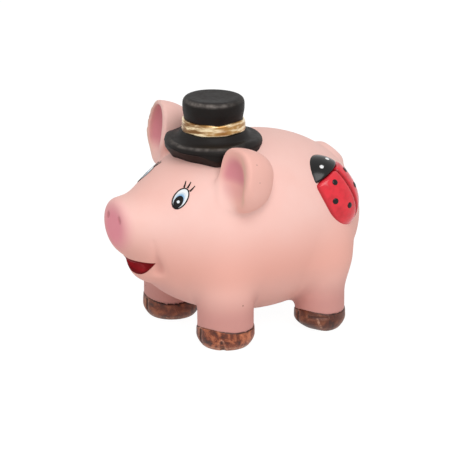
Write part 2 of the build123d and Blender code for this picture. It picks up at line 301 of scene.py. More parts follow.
def newest(name: str) -> bpy.types.Object:
    """Names the primitive that was just added and puts its place into its mesh.

    Args:
        name: The object's name.

    Returns:
        The object, at the origin, unturned and unscaled.
    """
    piece = bpy.context.object
    rename(piece, name)
    activate(piece)
    bpy.ops.object.transform_apply(location=True, rotation=True, scale=True)
    return piece


def add_ball(
    name: str, centre: Sequence[float], radii: Sequence[float], axes: "Axes | None" = None
) -> bpy.types.Object:
    """Adds a sphere stretched to three half axes.

    Args:
        name: The object's name.
        centre: Its centre, in millimetres, in the axes if they are given.
        radii: Its half axes, in millimetres.
        axes: The axes that it is turned to.

    Returns:
        The new object, placed in its mesh.
    """
    bpy.ops.object.select_all(action="DESELECT")
    bpy.ops.mesh.primitive_uv_sphere_add(segments=96, ring_count=48, radius=1)
    stretch = Matrix.Diagonal((*[radius * MM for radius in radii], 1))
    placed = Matrix.Translation(Vector(centre) * MM) @ stretch
    bpy.context.object.matrix_world = (axes.matrix if axes else Matrix.Identity(4)) @ placed
    return newest(name)


def join(name: str, parts: Sequence[bpy.types.Object]) -> bpy.types.Object:
    """Joins objects into one piece.

    Args:
        name: The piece's name.
        parts: The objects.

    Returns:
        The joined piece.
    """
    activate(parts[0])
    for part in parts:
        part.select_set(True)
    bpy.ops.object.join()
    piece = bpy.context.object
    rename(piece, name)
    return piece


def apply_modifier(piece: bpy.types.Object, kind: str, **settings) -> None:
    """Adds a modifier and applies it.

    Args:
        piece: The piece that it changes.
        kind: The modifier's Blender type.
        **settings: The modifier's own properties.
    """
    activate(piece)
    modifier = piece.modifiers.new(kind.title(), kind)
    for name, value in settings.items():
        setattr(modifier, name, value)
    bpy.ops.object.modifier_apply(modifier=modifier.name)


def remesh(piece: bpy.types.Object, voxel: float) -> None:
    """Turns overlapping closed shapes into one even skin of quads, each a voxel in millimetres wide."""
    apply_modifier(piece, "REMESH", mode="VOXEL", voxel_size=voxel * MM, adaptivity=0.0)


def points_of(piece: bpy.types.Object) -> Array:
    """Reads where a piece's vertices are.

    Args:
        piece: The piece.

    Returns:
        Its vertices, in millimetres.
    """
    flat = np.empty(len(piece.data.vertices) * 3)
    piece.data.vertices.foreach_get("co", flat)
    return flat.reshape(-1, 3) / MM


def set_points(piece: bpy.types.Object, points: Array) -> None:
    """Moves a piece's vertices to points in millimetres."""
    piece.data.vertices.foreach_set("co", (points * MM).ravel())
    piece.data.update()


def set_attribute(piece: bpy.types.Object, name: str, values: Array) -> None:
    """Stores one number for each vertex for a material to read."""
    layer = piece.data.attributes.new(name, "FLOAT", "POINT")
    layer.data.foreach_set("value", np.asarray(values, np.float32))


def in_edit_mode(piece: bpy.types.Object) -> None:
    """Enters edit mode with the whole mesh selected.

    Args:
        piece: The piece to edit.
    """
    activate(piece)
    bpy.ops.object.mode_set(mode="EDIT")
    bpy.ops.mesh.select_all(action="SELECT")


def face_outwards(piece: bpy.types.Object, weld: float) -> None:
    """Merges doubled vertices and turns every face outwards.

    Args:
        piece: The piece.
        weld: How close doubled vertices are, in millimetres.
    """
    in_edit_mode(piece)
    bpy.ops.mesh.remove_doubles(threshold=weld * MM)
    bpy.ops.mesh.normals_make_consistent(inside=False)
    bpy.ops.object.mode_set(mode="OBJECT")


def lathe(
    name: str, profile: Sequence[tuple[float, float]], axis_at: Array, steps: int = 128
) -> bpy.types.Object:
    """Spins a profile into a closed solid.

    Args:
        name: The object's name.
        profile: Points of radius and height, in millimetres; the ends lie on the axis or meet.
        axis_at: A point of the upright axis, in millimetres.
        steps: How many faces go round.

    Returns:
        The turned object.
    """
    x, y = axis_at[0] * MM, axis_at[1] * MM
    spots = [(x + radius * MM, y, height * MM) for radius, height in profile]
    mesh = bpy.data.meshes.new(name)
    mesh.from_pydata(spots, [(at, at + 1) for at in range(len(spots) - 1)], [])
    piece = bpy.data.objects.new(name, mesh)
    bpy.context.scene.collection.objects.link(piece)
    in_edit_mode(piece)
    bpy.ops.mesh.spin(steps=steps, angle=math.tau, center=(x, y, 0), axis=(0, 0, 1))
    bpy.ops.object.mode_set(mode="OBJECT")
    face_outwards(piece, weld=0.02)
    return piece


def round_corners(corners: Sequence[Triple], steps: int = 5) -> list[tuple[float, float]]:
    """Rounds the corners of an open outline with arcs.

    Args:
        corners: Points of radius, height and corner round, in millimetres.
        steps: How many points each round gets.

    Returns:
        The outline's points.
    """
    made = []
    for at, (radius, height, bend) in enumerate(corners):
        here = np.array((radius, height))
        if bend == 0 or at in (0, len(corners) - 1):
            made.append(tuple(here))
            continue
        before = np.array(corners[at - 1][:2]) - here
        after = np.array(corners[at + 1][:2]) - here
        start = here + before / np.linalg.norm(before) * bend
        end = here + after / np.linalg.norm(after) * bend
        for share in np.linspace(0, 1, steps):
            arc = (1 - share) ** 2 * start + 2 * share * (1 - share) * here + share**2 * end
            made.append(tuple(arc))
    return made


def hand_over(
    piece: bpy.types.Object, slot: str, material: bpy.types.Material, *nodes: str
) -> None:
    """Smooths and paints a finished piece and sets it in place of its CAD nodes.

    Args:
        piece: The finished piece.
        slot: Not used.
        material: Its finish.
        *nodes: The CAD nodes that it stands for.
    """
    activate(piece)
    bpy.ops.object.shade_smooth()
    piece.data.materials.clear()
    piece.data.materials.append(material)
    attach(piece, "root")
    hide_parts(*nodes)
    count = len(piece.data.vertices)
    log.info("%s: %d vertices, stands for %s", piece.name, count, ", ".join(nodes))


@dataclass(frozen=True)
class Axes:
    """Right-handed axes at a point, in millimetres."""

    origin: Array
    x: Array
    y: Array
    z: Array

    @classmethod
    def facing(
        cls, origin: Sequence[float], across: Sequence[float], out: Sequence[float], roll: float = 0
    ) -> "Axes":
        """Builds axes from an x and a z direction.

        Args:
            origin: Where they stand.
            across: About where x points.
            out: Where z points.
            roll: How far x and y are turned about z, in degrees.

        Returns:
            The axes.
        """
        z = np.asarray(out, float) / np.linalg.norm(out)
        x = np.asarray(across, float) - z * np.dot(across, z)
        x = x / np.linalg.norm(x)
        y = np.cross(z, x)
        cos, sin = math.cos(math.radians(roll)), math.sin(math.radians(roll))
        return cls(np.asarray(origin, float), x * cos + y * sin, y * cos - x * sin, z)

    @property
    def matrix(self) -> Matrix:
        """The axes as a transform, in metres.

        Returns:
            The transform from these axes to the frame.
        """
        columns = np.eye(4)
        columns[:3, 0], columns[:3, 1], columns[:3, 2] = self.x, self.y, self.z
        columns[:3, 3] = self.origin * MM
        return Matrix(columns.tolist())

    def local(self, points: Array) -> Array:
        """Points of the frame as these axes see them."""
        return (points - self.origin) @ np.stack([self.x, self.y, self.z], 1)

    def world(self, points: Array) -> Array:
        """Points of these axes in the frame."""
        return self.origin + np.asarray(points, float) @ np.stack([self.x, self.y, self.z])


@dataclass(frozen=True)
class PinkPaint:
    """Matt pink paint, sprayed on bisque-fired earthenware.

    It gives the eye a chalky pink that barely shines, deeper where the sprayer went over the ears
    and snout, with a fine clay tooth, faint blotches, a few dark pinholes from the casting and
    brownish rubbing on raised rims. It is deeper low on the body, partly from the spray and partly
    as painted shade. Painted shade also deepens the brow and darkens it under the jaw, low on the
    legs and in the nostrils and smile creases.
    """

    base: str = "#F3C1B6"
    pale: str = "#F6CCC3"
    # deeper pink low on the body and on the brow, partly sprayed and partly painted shade
    deep: str = "#EFB0A1"
    blush: str = "#D07C89"
    snout: str = "#EA8B9A"
    # painted shade under the jaw, low on the legs and in the nostrils and smile creases
    crease: str = "#9C4A4C"
    worn: str = "#CDB398"
    pinhole: str = "#8A5A4C"
    blotch_mm: float = 9.0
    tooth_mm: float = 0.45
    tooth_depth_mm: float = 0.15
    pinhole_mm: float = 0.75
    pinhole_gap_mm: float = 11.0
    pinhole_strength: float = 0.85
    roughness: float = 0.62
    roughness_drift: float = 0.06
    ior: float = 1.48

    def material(self) -> bpy.types.Material:
        """Mixes the paint from the casting's attributes for deeper paint with painted shade, blush,
        snout, painted shade in the crease layer, and worn rims.

        Returns:
            The paint.
        """
        material, tree = new_material("matt_pink_paint_on_bisque")
        place = add_node(tree, "ShaderNodeTexCoord").outputs["Object"]
        clouds = {"Vector": place, "Scale": per_mm(self.blotch_mm), "Detail": 3.0}
        blotch = add_node(tree, "ShaderNodeTexNoise", clouds).outputs[0]
        grain = {"Vector": place, "Scale": per_mm(self.tooth_mm), "Detail": 4.0}
        tooth = add_node(tree, "ShaderNodeTexNoise", grain).outputs[0]
        cells = {"Vector": place, "Scale": per_mm(self.pinhole_gap_mm)}
        gap = add_node(tree, "ShaderNodeTexVoronoi", cells).outputs["Distance"]
        edge = self.pinhole_mm / 2 / self.pinhole_gap_mm
        dot = {"Value": gap, 1: edge, 2: 0.6 * edge, 4: self.pinhole_strength}
        hole = add_node(tree, "ShaderNodeMapRange", dot).outputs[0]
        coats = [(blotch, self.pale)]
        for name in ("deep", "blush", "snout", "crease", "worn"):
            amount = add_node(tree, "ShaderNodeAttribute", attribute_name=name).outputs["Fac"]
            coats.append((amount, getattr(self, name)))
        tint: bpy.types.NodeSocket | Colour = linear(self.base)
        for amount, colour in (*coats, (hole, self.pinhole)):
            mix = {0: amount, 6: tint, 7: linear(colour)}
            tint = add_node(tree, "ShaderNodeMix", mix, data_type="RGBA").outputs[2]
        relief = {"Height": tooth, "Strength": 0.12, "Distance": self.tooth_depth_mm * MM}
        bump = add_node(tree, "ShaderNodeBump", relief).outputs[0]
        low, high = self.roughness - self.roughness_drift, self.roughness + self.roughness_drift
        shine = add_node(tree, "ShaderNodeMapRange", {"Value": blotch, 3: low, 4: high}).outputs[0]
        skin = {"Base Color": tint, "Roughness": shine, "Normal": bump, "IOR": self.ior}
        shader = add_node(tree, "ShaderNodeBsdfPrincipled", skin)
        add_node(tree, "ShaderNodeOutputMaterial", {"Surface": shader.outputs[0]})
        return material


@dataclass(frozen=True)
class HatEnamel:
    """Black hobby enamel, brushed on by hand.

    It gives the eye a soft satin black that turns brown where it lies thinner and grey where handling
    has worn it, with grey highlights painted on the edges that face the light.
    """

    base: str = "#13100E"
    thin_paint_and_shade: str = "#26130E"
    # grey of worn enamel and of painted highlights
    wear_and_highlight: str = "#807873"
    stroke_mm: float = 2.2
    stroke_depth_mm: float = 0.2
    fleck_mm: float = 2.4
    roughness: float = 0.54
    ior: float = 1.27

    def material(self) -> bpy.types.Material:
        """Mixes the enamel from the hat's attributes for thinner paint and for wear with painted
        highlights.

        Returns:
            The enamel.
        """
        material, tree = new_material("satin_black_enamel")
        place = add_node(tree, "ShaderNodeTexCoord").outputs["Object"]
        brushed = {"Vector": place, "Scale": per_mm(self.stroke_mm), "Detail": 5.0}
        stroke = add_node(tree, "ShaderNodeTexNoise", brushed).outputs[0]
        flecked = {"Vector": place, "Scale": per_mm(self.fleck_mm), "Detail": 2.0}
        fleck = add_node(tree, "ShaderNodeTexNoise", flecked).outputs[0]
        tint: bpy.types.NodeSocket | Colour = linear(self.base)
        layers = (("thin_paint_and_shade", self.thin_paint_and_shade, stroke, 0.38), ("wear_and_highlight", self.wear_and_highlight, fleck, 0.34))
        for name, colour, noise, none in layers:
            amount = add_node(tree, "ShaderNodeAttribute", attribute_name=name).outputs["Fac"]
            patches = {"Value": noise, 1: none, 2: 0.66, 3: 0.3, 4: 1.0}
            patchy = add_node(tree, "ShaderNodeMapRange", patches).outputs[0]
            both = {0: amount, 1: patchy}
            share = add_node(tree, "ShaderNodeMath", both, operation="MULTIPLY").outputs[0]
            mix = {0: share, 6: tint, 7: linear(colour)}
            tint = add_node(tree, "ShaderNodeMix", mix, data_type="RGBA").outputs[2]
        satin = {"Value": stroke, 3: self.roughness - 0.1, 4: self.roughness + 0.12}
        shine = add_node(tree, "ShaderNodeMapRange", satin).outputs[0]
        relief = {"Height": stroke, "Strength": 0.25, "Distance": self.stroke_depth_mm * MM}
        bump = add_node(tree, "ShaderNodeBump", relief).outputs[0]
        coat = {"Base Color": tint, "Roughness": shine, "Normal": bump, "IOR": self.ior}
        shader = add_node(tree, "ShaderNodeBsdfPrincipled", coat)
        add_node(tree, "ShaderNodeOutputMaterial", {"Surface": shader.outputs[0]})
        return material


@dataclass(frozen=True)
class GoldPaint:
    """Gold bronze paint, a varnish full of brass flakes.

    It gives the eye a soft brushed gold with pale strokes, brown where it lies thinner, and
    brown painted shade on the side of the band that is turned from the key light.
    """

    base: str = "#B3854A"
    bright: str = "#F5E0B8"
    thin_paint_and_shade: str = "#6A4320"
    stroke_mm: float = 7.0
    stroke_draw: float = 4.5
    stroke_depth_mm: float = 0.2
    metallic: float = 0.6
    roughness: float = 0.3

    def material(self) -> bpy.types.Material:
        """Mixes pale strokes into the gold, and brown ones by the band's attribute for painted shade.

        Returns:
            The gold paint.
        """
        material, tree = new_material("gold_bronze_paint")
        place = add_node(tree, "ShaderNodeTexCoord").outputs["Object"]
        draw = {"Vector": place, "Scale": (1, 1, self.stroke_draw)}
        drawn_out = add_node(tree, "ShaderNodeMapping", draw).outputs[0]
        brushed = {"Vector": drawn_out, "Scale": per_mm(self.stroke_mm), "Detail": 4.0}
        stroke = add_node(tree, "ShaderNodeTexNoise", brushed).outputs[0]
        pale = add_node(tree, "ShaderNodeMapRange", {"Value": stroke, 1: 0.45, 2: 0.6}).outputs[0]
        # the band's painted shade, on its side turned from the key light
        shaded_side = add_node(tree, "ShaderNodeAttribute", attribute_name="thin_paint_and_shade").outputs["Fac"]
        less = {0: stroke, 1: shaded_side}
        sparse = add_node(tree, "ShaderNodeMath", less, operation="SUBTRACT").outputs[0]
        gaps = {"Value": sparse, 1: 0.42, 2: 0.26, 4: 0.8}
        brown = add_node(tree, "ShaderNodeMapRange", gaps).outputs[0]
        tint: bpy.types.NodeSocket | Colour = linear(self.base)
        for amount, colour in ((pale, self.bright), (brown, self.thin_paint_and_shade)):
            mix = {0: amount, 6: tint, 7: linear(colour)}
            tint = add_node(tree, "ShaderNodeMix", mix, data_type="RGBA").outputs[2]
        relief = {"Height": stroke, "Strength": 0.3, "Distance": self.stroke_depth_mm * MM}
        bump = add_node(tree, "ShaderNodeBump", relief).outputs[0]
        coat = {"Base Color": tint, "Normal": bump}
        coat |= {"Metallic": self.metallic, "Roughness": self.roughness}
        shader = add_node(tree, "ShaderNodeBsdfPrincipled", coat)
        add_node(tree, "ShaderNodeOutputMaterial", {"Surface": shader.outputs[0]})
        return material


@dataclass(frozen=True)
class HoofWash:
    """Copper-brown paint dry-brushed over a dark wash.

    It gives the eye a mottled brown: nearly black in the grooves, from the dark wash and painted
    shade, copper on the raised wall, and pale on edges from the dry brush and painted highlights.
    """

    base: str = "#803C22"
    copper: str = "#C4744E"
    # near-black of the wash, used also for painted shade and a painted shadow
    dark: str = "#2E130C"
    # pale of the dry brush, used also for painted highlights beside the grooves
    pale: str = "#E2AE92"
    mottle_mm: float = 5.0
    mottle_depth_mm: float = 0.3
    fleck_mm: float = 0.9
    roughness: float = 0.5
    ior: float = 1.48

    def material(self) -> bpy.types.Material:
        """Mixes the wash, painted shade and painted highlights by the hoof's groove and edge
        attributes and a mottle.

        Returns:
            The hoof's paint.
        """
        material, tree = new_material("copper_dry_brush_over_dark_wash")
        place = add_node(tree, "ShaderNodeTexCoord").outputs["Object"]
        patches = {"Vector": place, "Scale": per_mm(self.mottle_mm), "Detail": 8.0}
        patches |= {"Roughness": 0.68, "Distortion": 0.5}
        mottle = add_node(tree, "ShaderNodeTexNoise", patches).outputs[0]
        flecked = {"Vector": place, "Scale": per_mm(self.fleck_mm), "Detail": 3.0}
        fleck = add_node(tree, "ShaderNodeTexNoise", flecked).outputs[0]
        groove = add_node(tree, "ShaderNodeAttribute", attribute_name="groove").outputs["Fac"]
        edge = add_node(tree, "ShaderNodeAttribute", attribute_name="edge").outputs["Fac"]
        raised = add_node(tree, "ShaderNodeMapRange", {"Value": mottle, 1: 0.47, 2: 0.6}).outputs[0]
        hollows = {"Value": mottle, 1: 0.5, 2: 0.37, 4: 0.9}
        sunk = add_node(tree, "ShaderNodeMapRange", hollows).outputs[0]
        dry = {"Value": fleck, 1: 0.45, 2: 0.65, 3: 0.25, 4: 1.0}
        caught = add_node(tree, "ShaderNodeMapRange", dry).outputs[0]
        touched = {0: edge, 1: caught}
        brushed = add_node(tree, "ShaderNodeMath", touched, operation="MULTIPLY").outputs[0]
        washed = {0: groove, 1: sunk}
        dark = add_node(tree, "ShaderNodeMath", washed, operation="MAXIMUM").outputs[0]
        tint: bpy.types.NodeSocket | Colour = linear(self.base)
        for amount, colour in ((raised, self.copper), (dark, self.dark), (brushed, self.pale)):
            mix = {0: amount, 6: tint, 7: linear(colour)}
            tint = add_node(tree, "ShaderNodeMix", mix, data_type="RGBA").outputs[2]
        relief = {"Height": mottle, "Strength": 0.4, "Distance": self.mottle_depth_mm * MM}
        bump = add_node(tree, "ShaderNodeBump", relief).outputs[0]
        coat = {"Base Color": tint, "Roughness": self.roughness, "Normal": bump, "IOR": self.ior}
        shader = add_node(tree, "ShaderNodeBsdfPrincipled", coat)
        add_node(tree, "ShaderNodeOutputMaterial", {"Surface": shader.outputs[0]})
        return material


@dataclass(frozen=True)
class GlossEnamel:
    """Gloss enamel, flooded on with a brush.

    It gives the eye one strong colour under a wet-looking coat, a little deeper where the enamel
    lies thicker, and deeper again as painted shade at the mouth's edges and on the ladybird's wing
    cases by the rump and the seam.
    """

    name: str
    base: str
    # the deeper colour of thicker enamel, also used for painted shade
    pooled_and_shaded: str
    roughness: float = 0.22
    pool_mm: float = 4.0
    pool_depth_mm: float = 0.3
    ior: float = 1.5

    def material(self) -> bpy.types.Material:
        """Mixes the deeper colour in by the piece's attribute, which holds painted shade on the mouth
        and wing cases, and by a slow mottle.

        Returns:
            The enamel.
        """
        material, tree = new_material(self.name)
        place = add_node(tree, "ShaderNodeTexCoord").outputs["Object"]
        clouds = {"Vector": place, "Scale": per_mm(self.pool_mm), "Detail": 2.0}
        slow = add_node(tree, "ShaderNodeTexNoise", clouds).outputs[0]
        # the mouth's and wing cases' painted shade, and the blue of the irises
        pooled_paint_and_shade = add_node(tree, "ShaderNodeAttribute", attribute_name="pooled_paint_and_shade").outputs["Fac"]
        thick = {"Value": slow, 1: 0.45, 2: 0.75, 4: 0.5}
        drift = add_node(tree, "ShaderNodeMapRange", thick).outputs[0]
        either = {0: pooled_paint_and_shade, 1: drift}
        share = add_node(tree, "ShaderNodeMath", either, operation="MAXIMUM").outputs[0]
        mix = {0: share, 6: linear(self.base), 7: linear(self.pooled_and_shaded)}
        tint = add_node(tree, "ShaderNodeMix", mix, data_type="RGBA").outputs[2]
        relief = {"Height": slow, "Strength": 0.08, "Distance": self.pool_depth_mm * MM}
        bump = add_node(tree, "ShaderNodeBump", relief).outputs[0]
        coat = {"Base Color": tint, "Roughness": self.roughness, "Normal": bump, "IOR": self.ior}
        shader = add_node(tree, "ShaderNodeBsdfPrincipled", coat)
        add_node(tree, "ShaderNodeOutputMaterial", {"Surface": shader.outputs[0]})
        return material


@dataclass(frozen=True)
class EarSizes:
    """One ear's own sizes, as each was pinched by hand, in millimetres and degrees."""

    turn: float
    standoff: float
    radii: Triple
    fullness: float
    taper: float
    edge_round: float
    cup: Triple
    cup_rise: float
    cup_shift: float
    cup_lift: float
    rim_round: float
    blush_top: float
    blush_low: float
    lobe_strength: float


@dataclass(frozen=True)
class LegSizes:
    """The sizes that a front and a rear leg don't share, in millimetres."""

    station: float
    ankle_radius: float
    thigh_radius: float
    thigh_stretch: float
    toe_inset: float


@dataclass(frozen=True)
class SprayPlan:
    """Where each sprayed, worn or painted-shade colour starts and is full, in millimetres, and its
    strength.
    """

    # deeper low on the body, partly spray and partly painted shade, eased off over the belly
    deep_heights: Ramp = (58.0, 32.0)
    belly_heights: Ramp = (32.0, 20.0)
    belly_relief: float = 0.4
    # the brow, throat, shin, nostril and smile entries place painted shade
    brow: Triple = (0.0, -42.0, 23.0)
    brow_reach: Ramp = (24.0, 8.0)
    brow_strength: float = 0.35
    throat: Triple = (0.0, 6.0, -8.0)
    throat_reach: Ramp = (17.0, 6.0)
    throat_strength: float = 0.26
    shin_heights: Ramp = (26.0, 12.0)
    shin_reach: Ramp = (3.0, 0.2)
    shin_strength: float = 0.46
    nostril_reach: Ramp = (0.5, -0.05)
    nostril_strength: float = 0.6
    smile_reach: Ramp = (3.8, 1.2)
    smile_strength: float = 0.34
    snout_setbacks: Ramp = (5.0, 0.8)
    snout_reach: Ramp = (13.5, 4.0)
    snout_drop: float = 1.0
    snout_strength: float = 0.9
    blush_reach: Ramp = (1.4, -0.4)
    blush_rise: Ramp = (-1.5, 4.5)
    blush_depth: float = 2.4
    blush_strength: float = 0.95
    tongue_heights: Ramp = (-10.0, -4.0)
    tongue_strength: float = 0.35
    rub_inset: float = 0.8
    rub_reach: Ramp = (1.4, 0.2)
    rub_depths: Ramp = (-2.4, -0.6)
    rub_across: Ramp = (1.0, 6.0)
    rub_strength: float = 0.5
    lobe_reach: Ramp = (1.0, -0.2)
    lobe_standoffs: Ramp = (1.0, 5.0)


@dataclass
class Casting:
    """The slip-cast body with its snout, legs, ears and tail, as one skin. Sizes are in millimetres."""

    radius: float = 36.1
    face_length: float = 53.0
    rump_length: float = 47.5
    snout_length: float = 8.0
    snout_radius: float = 10.0
    snout_rim: float = 3.6
    muzzle_flare: float = 9.0
    muzzle_setbacks: Triple = (0.0, 7.0, 21.0)
    muzzle_rises: Triple = (7.3, 5.0, 2.2)
    muzzle_span: Ramp = (-3.0, 30.0)
    muzzle_back: float = 28.0
    muzzle_blend: float = 6.0
    nostril_spread: float = 4.5
    nostril_rise: float = 2.7
    nostril_radii: Triple = (0.7, 1.4, 1.5)
    nostril_lean: float = 25.0
    jaw_setback: float = 18.0
    jaw_drop: float = 10.8
    jaw_radii: Triple = (12.9, 9.2, 7.8)
    jaw_power: float = 2.7
    jaw_blend: float = 3.0
    mouth_half_width: float = 12.3
    mouth_drop: float = 7.5
    mouth_height: float = 6.8
    mouth_sag: float = 0.3
    mouth_fullness: float = 2.6
    mouth_dish: Triple = (9.2, 1.4, 2.9)
    edge_round: float = 0.8
    smile: tuple[Triple, ...] = ((12.2, -49.4, 2.2), (13.3, -48.4, -5.4), (11.8, -46.8, -12.8))
    smile_sink: float = 3.4
    smile_swell: float = 2.4
    smile_round: float = 6.0
    smile_beads: int = 40
    leg_spread: float = 43.4
    legs: dict[End, LegSizes] = field(
        default_factory=lambda: {
            End.FRONT: LegSizes(-22.7, 11.2, 12.0, 2.0, 0.0),
            End.REAR: LegSizes(20.8, 9.9, 12.8, 1.4, 2.6),
        }
    )
    thigh_drop: float = 12.8
    thigh_start: float = 0.3
    leg_blends: Ramp = (4.0, 6.0)
    leg_blend_heights: Ramp = (16.0, 30.0)
    leg_overlap: float = 0.8
    leg_hem: float = 0.6
    hoof_height: float = 8.7
    paint_margin: float = 0.2
    paint_waves: Waves = field(default_factory=lambda: {2: (0.9, 1.0), 3: (0.25, 0.6)})
    ear_station: float = -24.5
    ear_lean: float = 10.0
    ear_outward_turn: float = 10.0
    ear_front: float = 0.6
    ear_chin_round: float = 5.5
    ear_chin_heights: Ramp = (1.0, -10.0)
    ear_taper_heights: Ramp = (0.0, -13.0)
    ear_tongue: Triple = (6.0, 8.5, 2.4)
    ear_tongue_shift: float = 0.5
    ear_tongue_drop: float = 4.5
    ear_tongue_blend: float = 3.0
    ear_blend: float = 3.6
    ears: dict[Side, EarSizes] = field(
        default_factory=lambda: {
            Side.LEFT: EarSizes(
                turn=48.2,
                standoff=9.6,
                radii=(10.3, 12.9, 17.4),
                fullness=2.5,
                taper=0.0,
                edge_round=1.8,
                cup=(9.4, 9.6, 8.4),
                cup_rise=2.6,
                cup_shift=-2.1,
                cup_lift=5.8,
                rim_round=3.4,
                blush_top=0.2,
                blush_low=-3.0,
                lobe_strength=0.7,
            ),
            Side.RIGHT: EarSizes(
                turn=45.0,
                standoff=11.8,
                radii=(10.2, 13.5, 17.0),
                fullness=2.2,
                taper=0.25,
                edge_round=0.9,
                cup=(7.5, 9.0, 6.5),
                cup_rise=2.4,
                cup_shift=1.2,
                cup_lift=0.0,
                rim_round=1.2,
                blush_top=1.2,
                blush_low=-7.0,
                lobe_strength=0.0,
            ),
        }
    )
    tail_station: float = 38.4
    tail_curl: float = 4.4
    tail_tighten: float = 0.12
    tail_radius: float = 2.3
    tail_tip: float = 0.35
    tail_sweep: Ramp = (-40.0, 290.0)
    tail_sink: float = 0.7
    tail_blend: float = 3.0
    tail_bead_count: int = 60
    vent_radius: float = 4.0
    vent_top: float = 14.0
    vent_round: float = 1.0
    spray: SprayPlan = SprayPlan()
    voxel: float = 0.65

    @cached_property
    def middle(self) -> Array:
        """The centre of the body's widest ring."""
        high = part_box("body_shell")[1] / MM
        return np.array((0, high.y - self.rump_length, high.z - self.radius))

    @cached_property
    def snout_y(self) -> float:
        """Where the snout's flat disc stands."""
        return self.middle[1] - self.face_length - self.snout_length

    @cached_property
    def jaw_middle(self) -> Array:
        """The centre of the jaw."""
        return np.array((0, self.snout_y + self.jaw_setback, self.middle[2] - self.jaw_drop))

    @cached_property
    def mouth_top(self) -> float:
        """The height of the mouth's corners."""
        return self.middle[2] - self.mouth_drop

    @cached_property
    def thigh_z(self) -> float:
        """The height of the thighs' middles."""
        return self.middle[2] - self.thigh_drop

    def skin_axes(self, station: float, turn: float, roll: float = 0) -> Axes:
        """Axes on the egg's skin, z out of the body and y up it.

        Args:
            station: How far behind the widest ring.
            turn: How far down from the top to the pig's left, in degrees.
            roll: How far the axes are turned about z, in degrees.

        Returns:
            The axes.
        """
        length = self.face_length if station < 0 else self.rump_length
        ring = self.radius * math.sqrt(1 - (station / length) ** 2)
        across = ring * math.sin(math.radians(turn))
        rise = ring * math.cos(math.radians(turn))
        out = np.array((across / self.radius**2, station / length**2, rise / self.radius**2))
        seat = self.middle + (across, station, rise)
        return Axes.facing(seat, np.cross((0, 0, 1), out), out, roll)

    def ear_axes(self, side: Side) -> Axes:
        """Axes at the middle of an ear's opening, z out of the opening.

        Args:
            side: Which ear.

        Returns:
            The axes.
        """
        ring = self.radius * math.sqrt(1 - (self.ear_station / self.face_length) ** 2)
        reach = ring + self.ears[side].standoff
        spread = math.radians(self.ears[side].turn)
        turn = math.radians(self.ear_outward_turn)
        across = side.value * reach * math.sin(spread)
        origin = self.middle + (across, self.ear_station, reach * math.cos(spread))
        lean = math.sin(math.radians(self.ear_lean))
        out = (side.value * math.sin(turn), -math.cos(turn), lean)
        return Axes.facing(origin, (math.cos(turn), side.value * math.sin(turn), 0), out)

    def foot(self, end: End, side: Side) -> Array:
        """The middle of a sole."""
        station = self.middle[1] + self.legs[end].station
        return np.array((side.value * self.leg_spread / 2, station, 0))

    def egg(self, points: Array) -> Array:
        """The distance to the plain egg of the body.

        Args:
            points: Points in millimetres.

        Returns:
            The distances.
        """
        moved = points - self.middle
        lengths = np.where(moved[:, 1] < 0, self.face_length, self.rump_length)
        round_way = np.full(len(points), self.radius)
        return stretched_ball(moved, np.stack([round_way, lengths, round_way], 1))

    def muzzle(self, points: Array) -> Array:
        """The distance to the muzzle, a cone that drops towards the face.

        Args:
            points: Points in millimetres.

        Returns:
            The distances.
        """
        setback = points[:, 1] - self.snout_y
        inside = np.clip(setback, *self.muzzle_span)
        rise = np.polyval(np.polyfit(self.muzzle_setbacks, self.muzzle_rises, 2), inside)
        flare = self.muzzle_flare / self.muzzle_setbacks[-1]
        around = np.hypot(points[:, 0], points[:, 2] - self.middle[2] - rise)
        side = (around - self.snout_radius - flare * inside) / math.hypot(1, flare)
        return np.maximum(smooth_common(side, -setback, self.snout_rim), setback - self.muzzle_back)

    def jaw(self, points: Array) -> Array:
        """The distance to the jaw, round across and squarer from the lip to the chin.

        Args:
            points: Points in millimetres.

        Returns:
            The distances.
        """
        moved = points - self.jaw_middle
        width, length, height = self.jaw_radii
        profile = squared_ball(moved * (0, 1, 1), (FAR, length, height), self.jaw_power) + length
        flat = np.stack([moved[:, 0], profile, 0 * profile], 1)
        return stretched_ball(flat, (width, length, length))

    def bearing(self, points: Array, end: End, side: Side) -> Array:
        """The points' direction from a foot's middle, from the front to the outer side, in radians."""
        foot = self.foot(end, side)
        return np.arctan2(side.value * (points[:, 0] - foot[0]), foot[1] - points[:, 1])

    def paint_line(self, points: Array, end: End, side: Side) -> Array:
        """How high the hoof's hand-painted upper edge is at the points' side of a foot."""
        uneven = waves(self.bearing(points, end, side), self.paint_waves)
        return self.hoof_height - self.paint_margin + uneven

    def leg(self, points: Array, end: End, side: Side) -> Array:
        """The distance to a leg, which swells from the ankle to a round thigh.

        Args:
            points: Points in millimetres.
            end: Whether it is a front or a rear leg.
            side: Which of the two.

        Returns:
            The distances.
        """
        sizes, foot = self.legs[end], self.foot(end, side)
        swell = sizes.thigh_radius - sizes.ankle_radius
        height = self.thigh_z - self.hoof_height
        rise = np.clip((points[:, 2] - self.hoof_height) / height, 0, 1)
        radius = sizes.ankle_radius + swell * fade(rise, self.thigh_start, 1.0)
        around = np.hypot(points[:, 0] - foot[0], points[:, 1] - foot[1])
        over = np.maximum(points[:, 2] - self.thigh_z, 0) / sizes.thigh_stretch
        below = self.paint_line(points, end, side) - self.leg_overlap - points[:, 2]
        return smooth_common(np.hypot(around, over) - radius, below, self.leg_hem)

    def ear_cup_middle(self, side: Side) -> Triple:
        """The middle of an ear's cup, in the ear's axes."""
        sizes = self.ears[side]
        return side.value * sizes.cup_shift, sizes.cup_rise, sizes.cup_lift

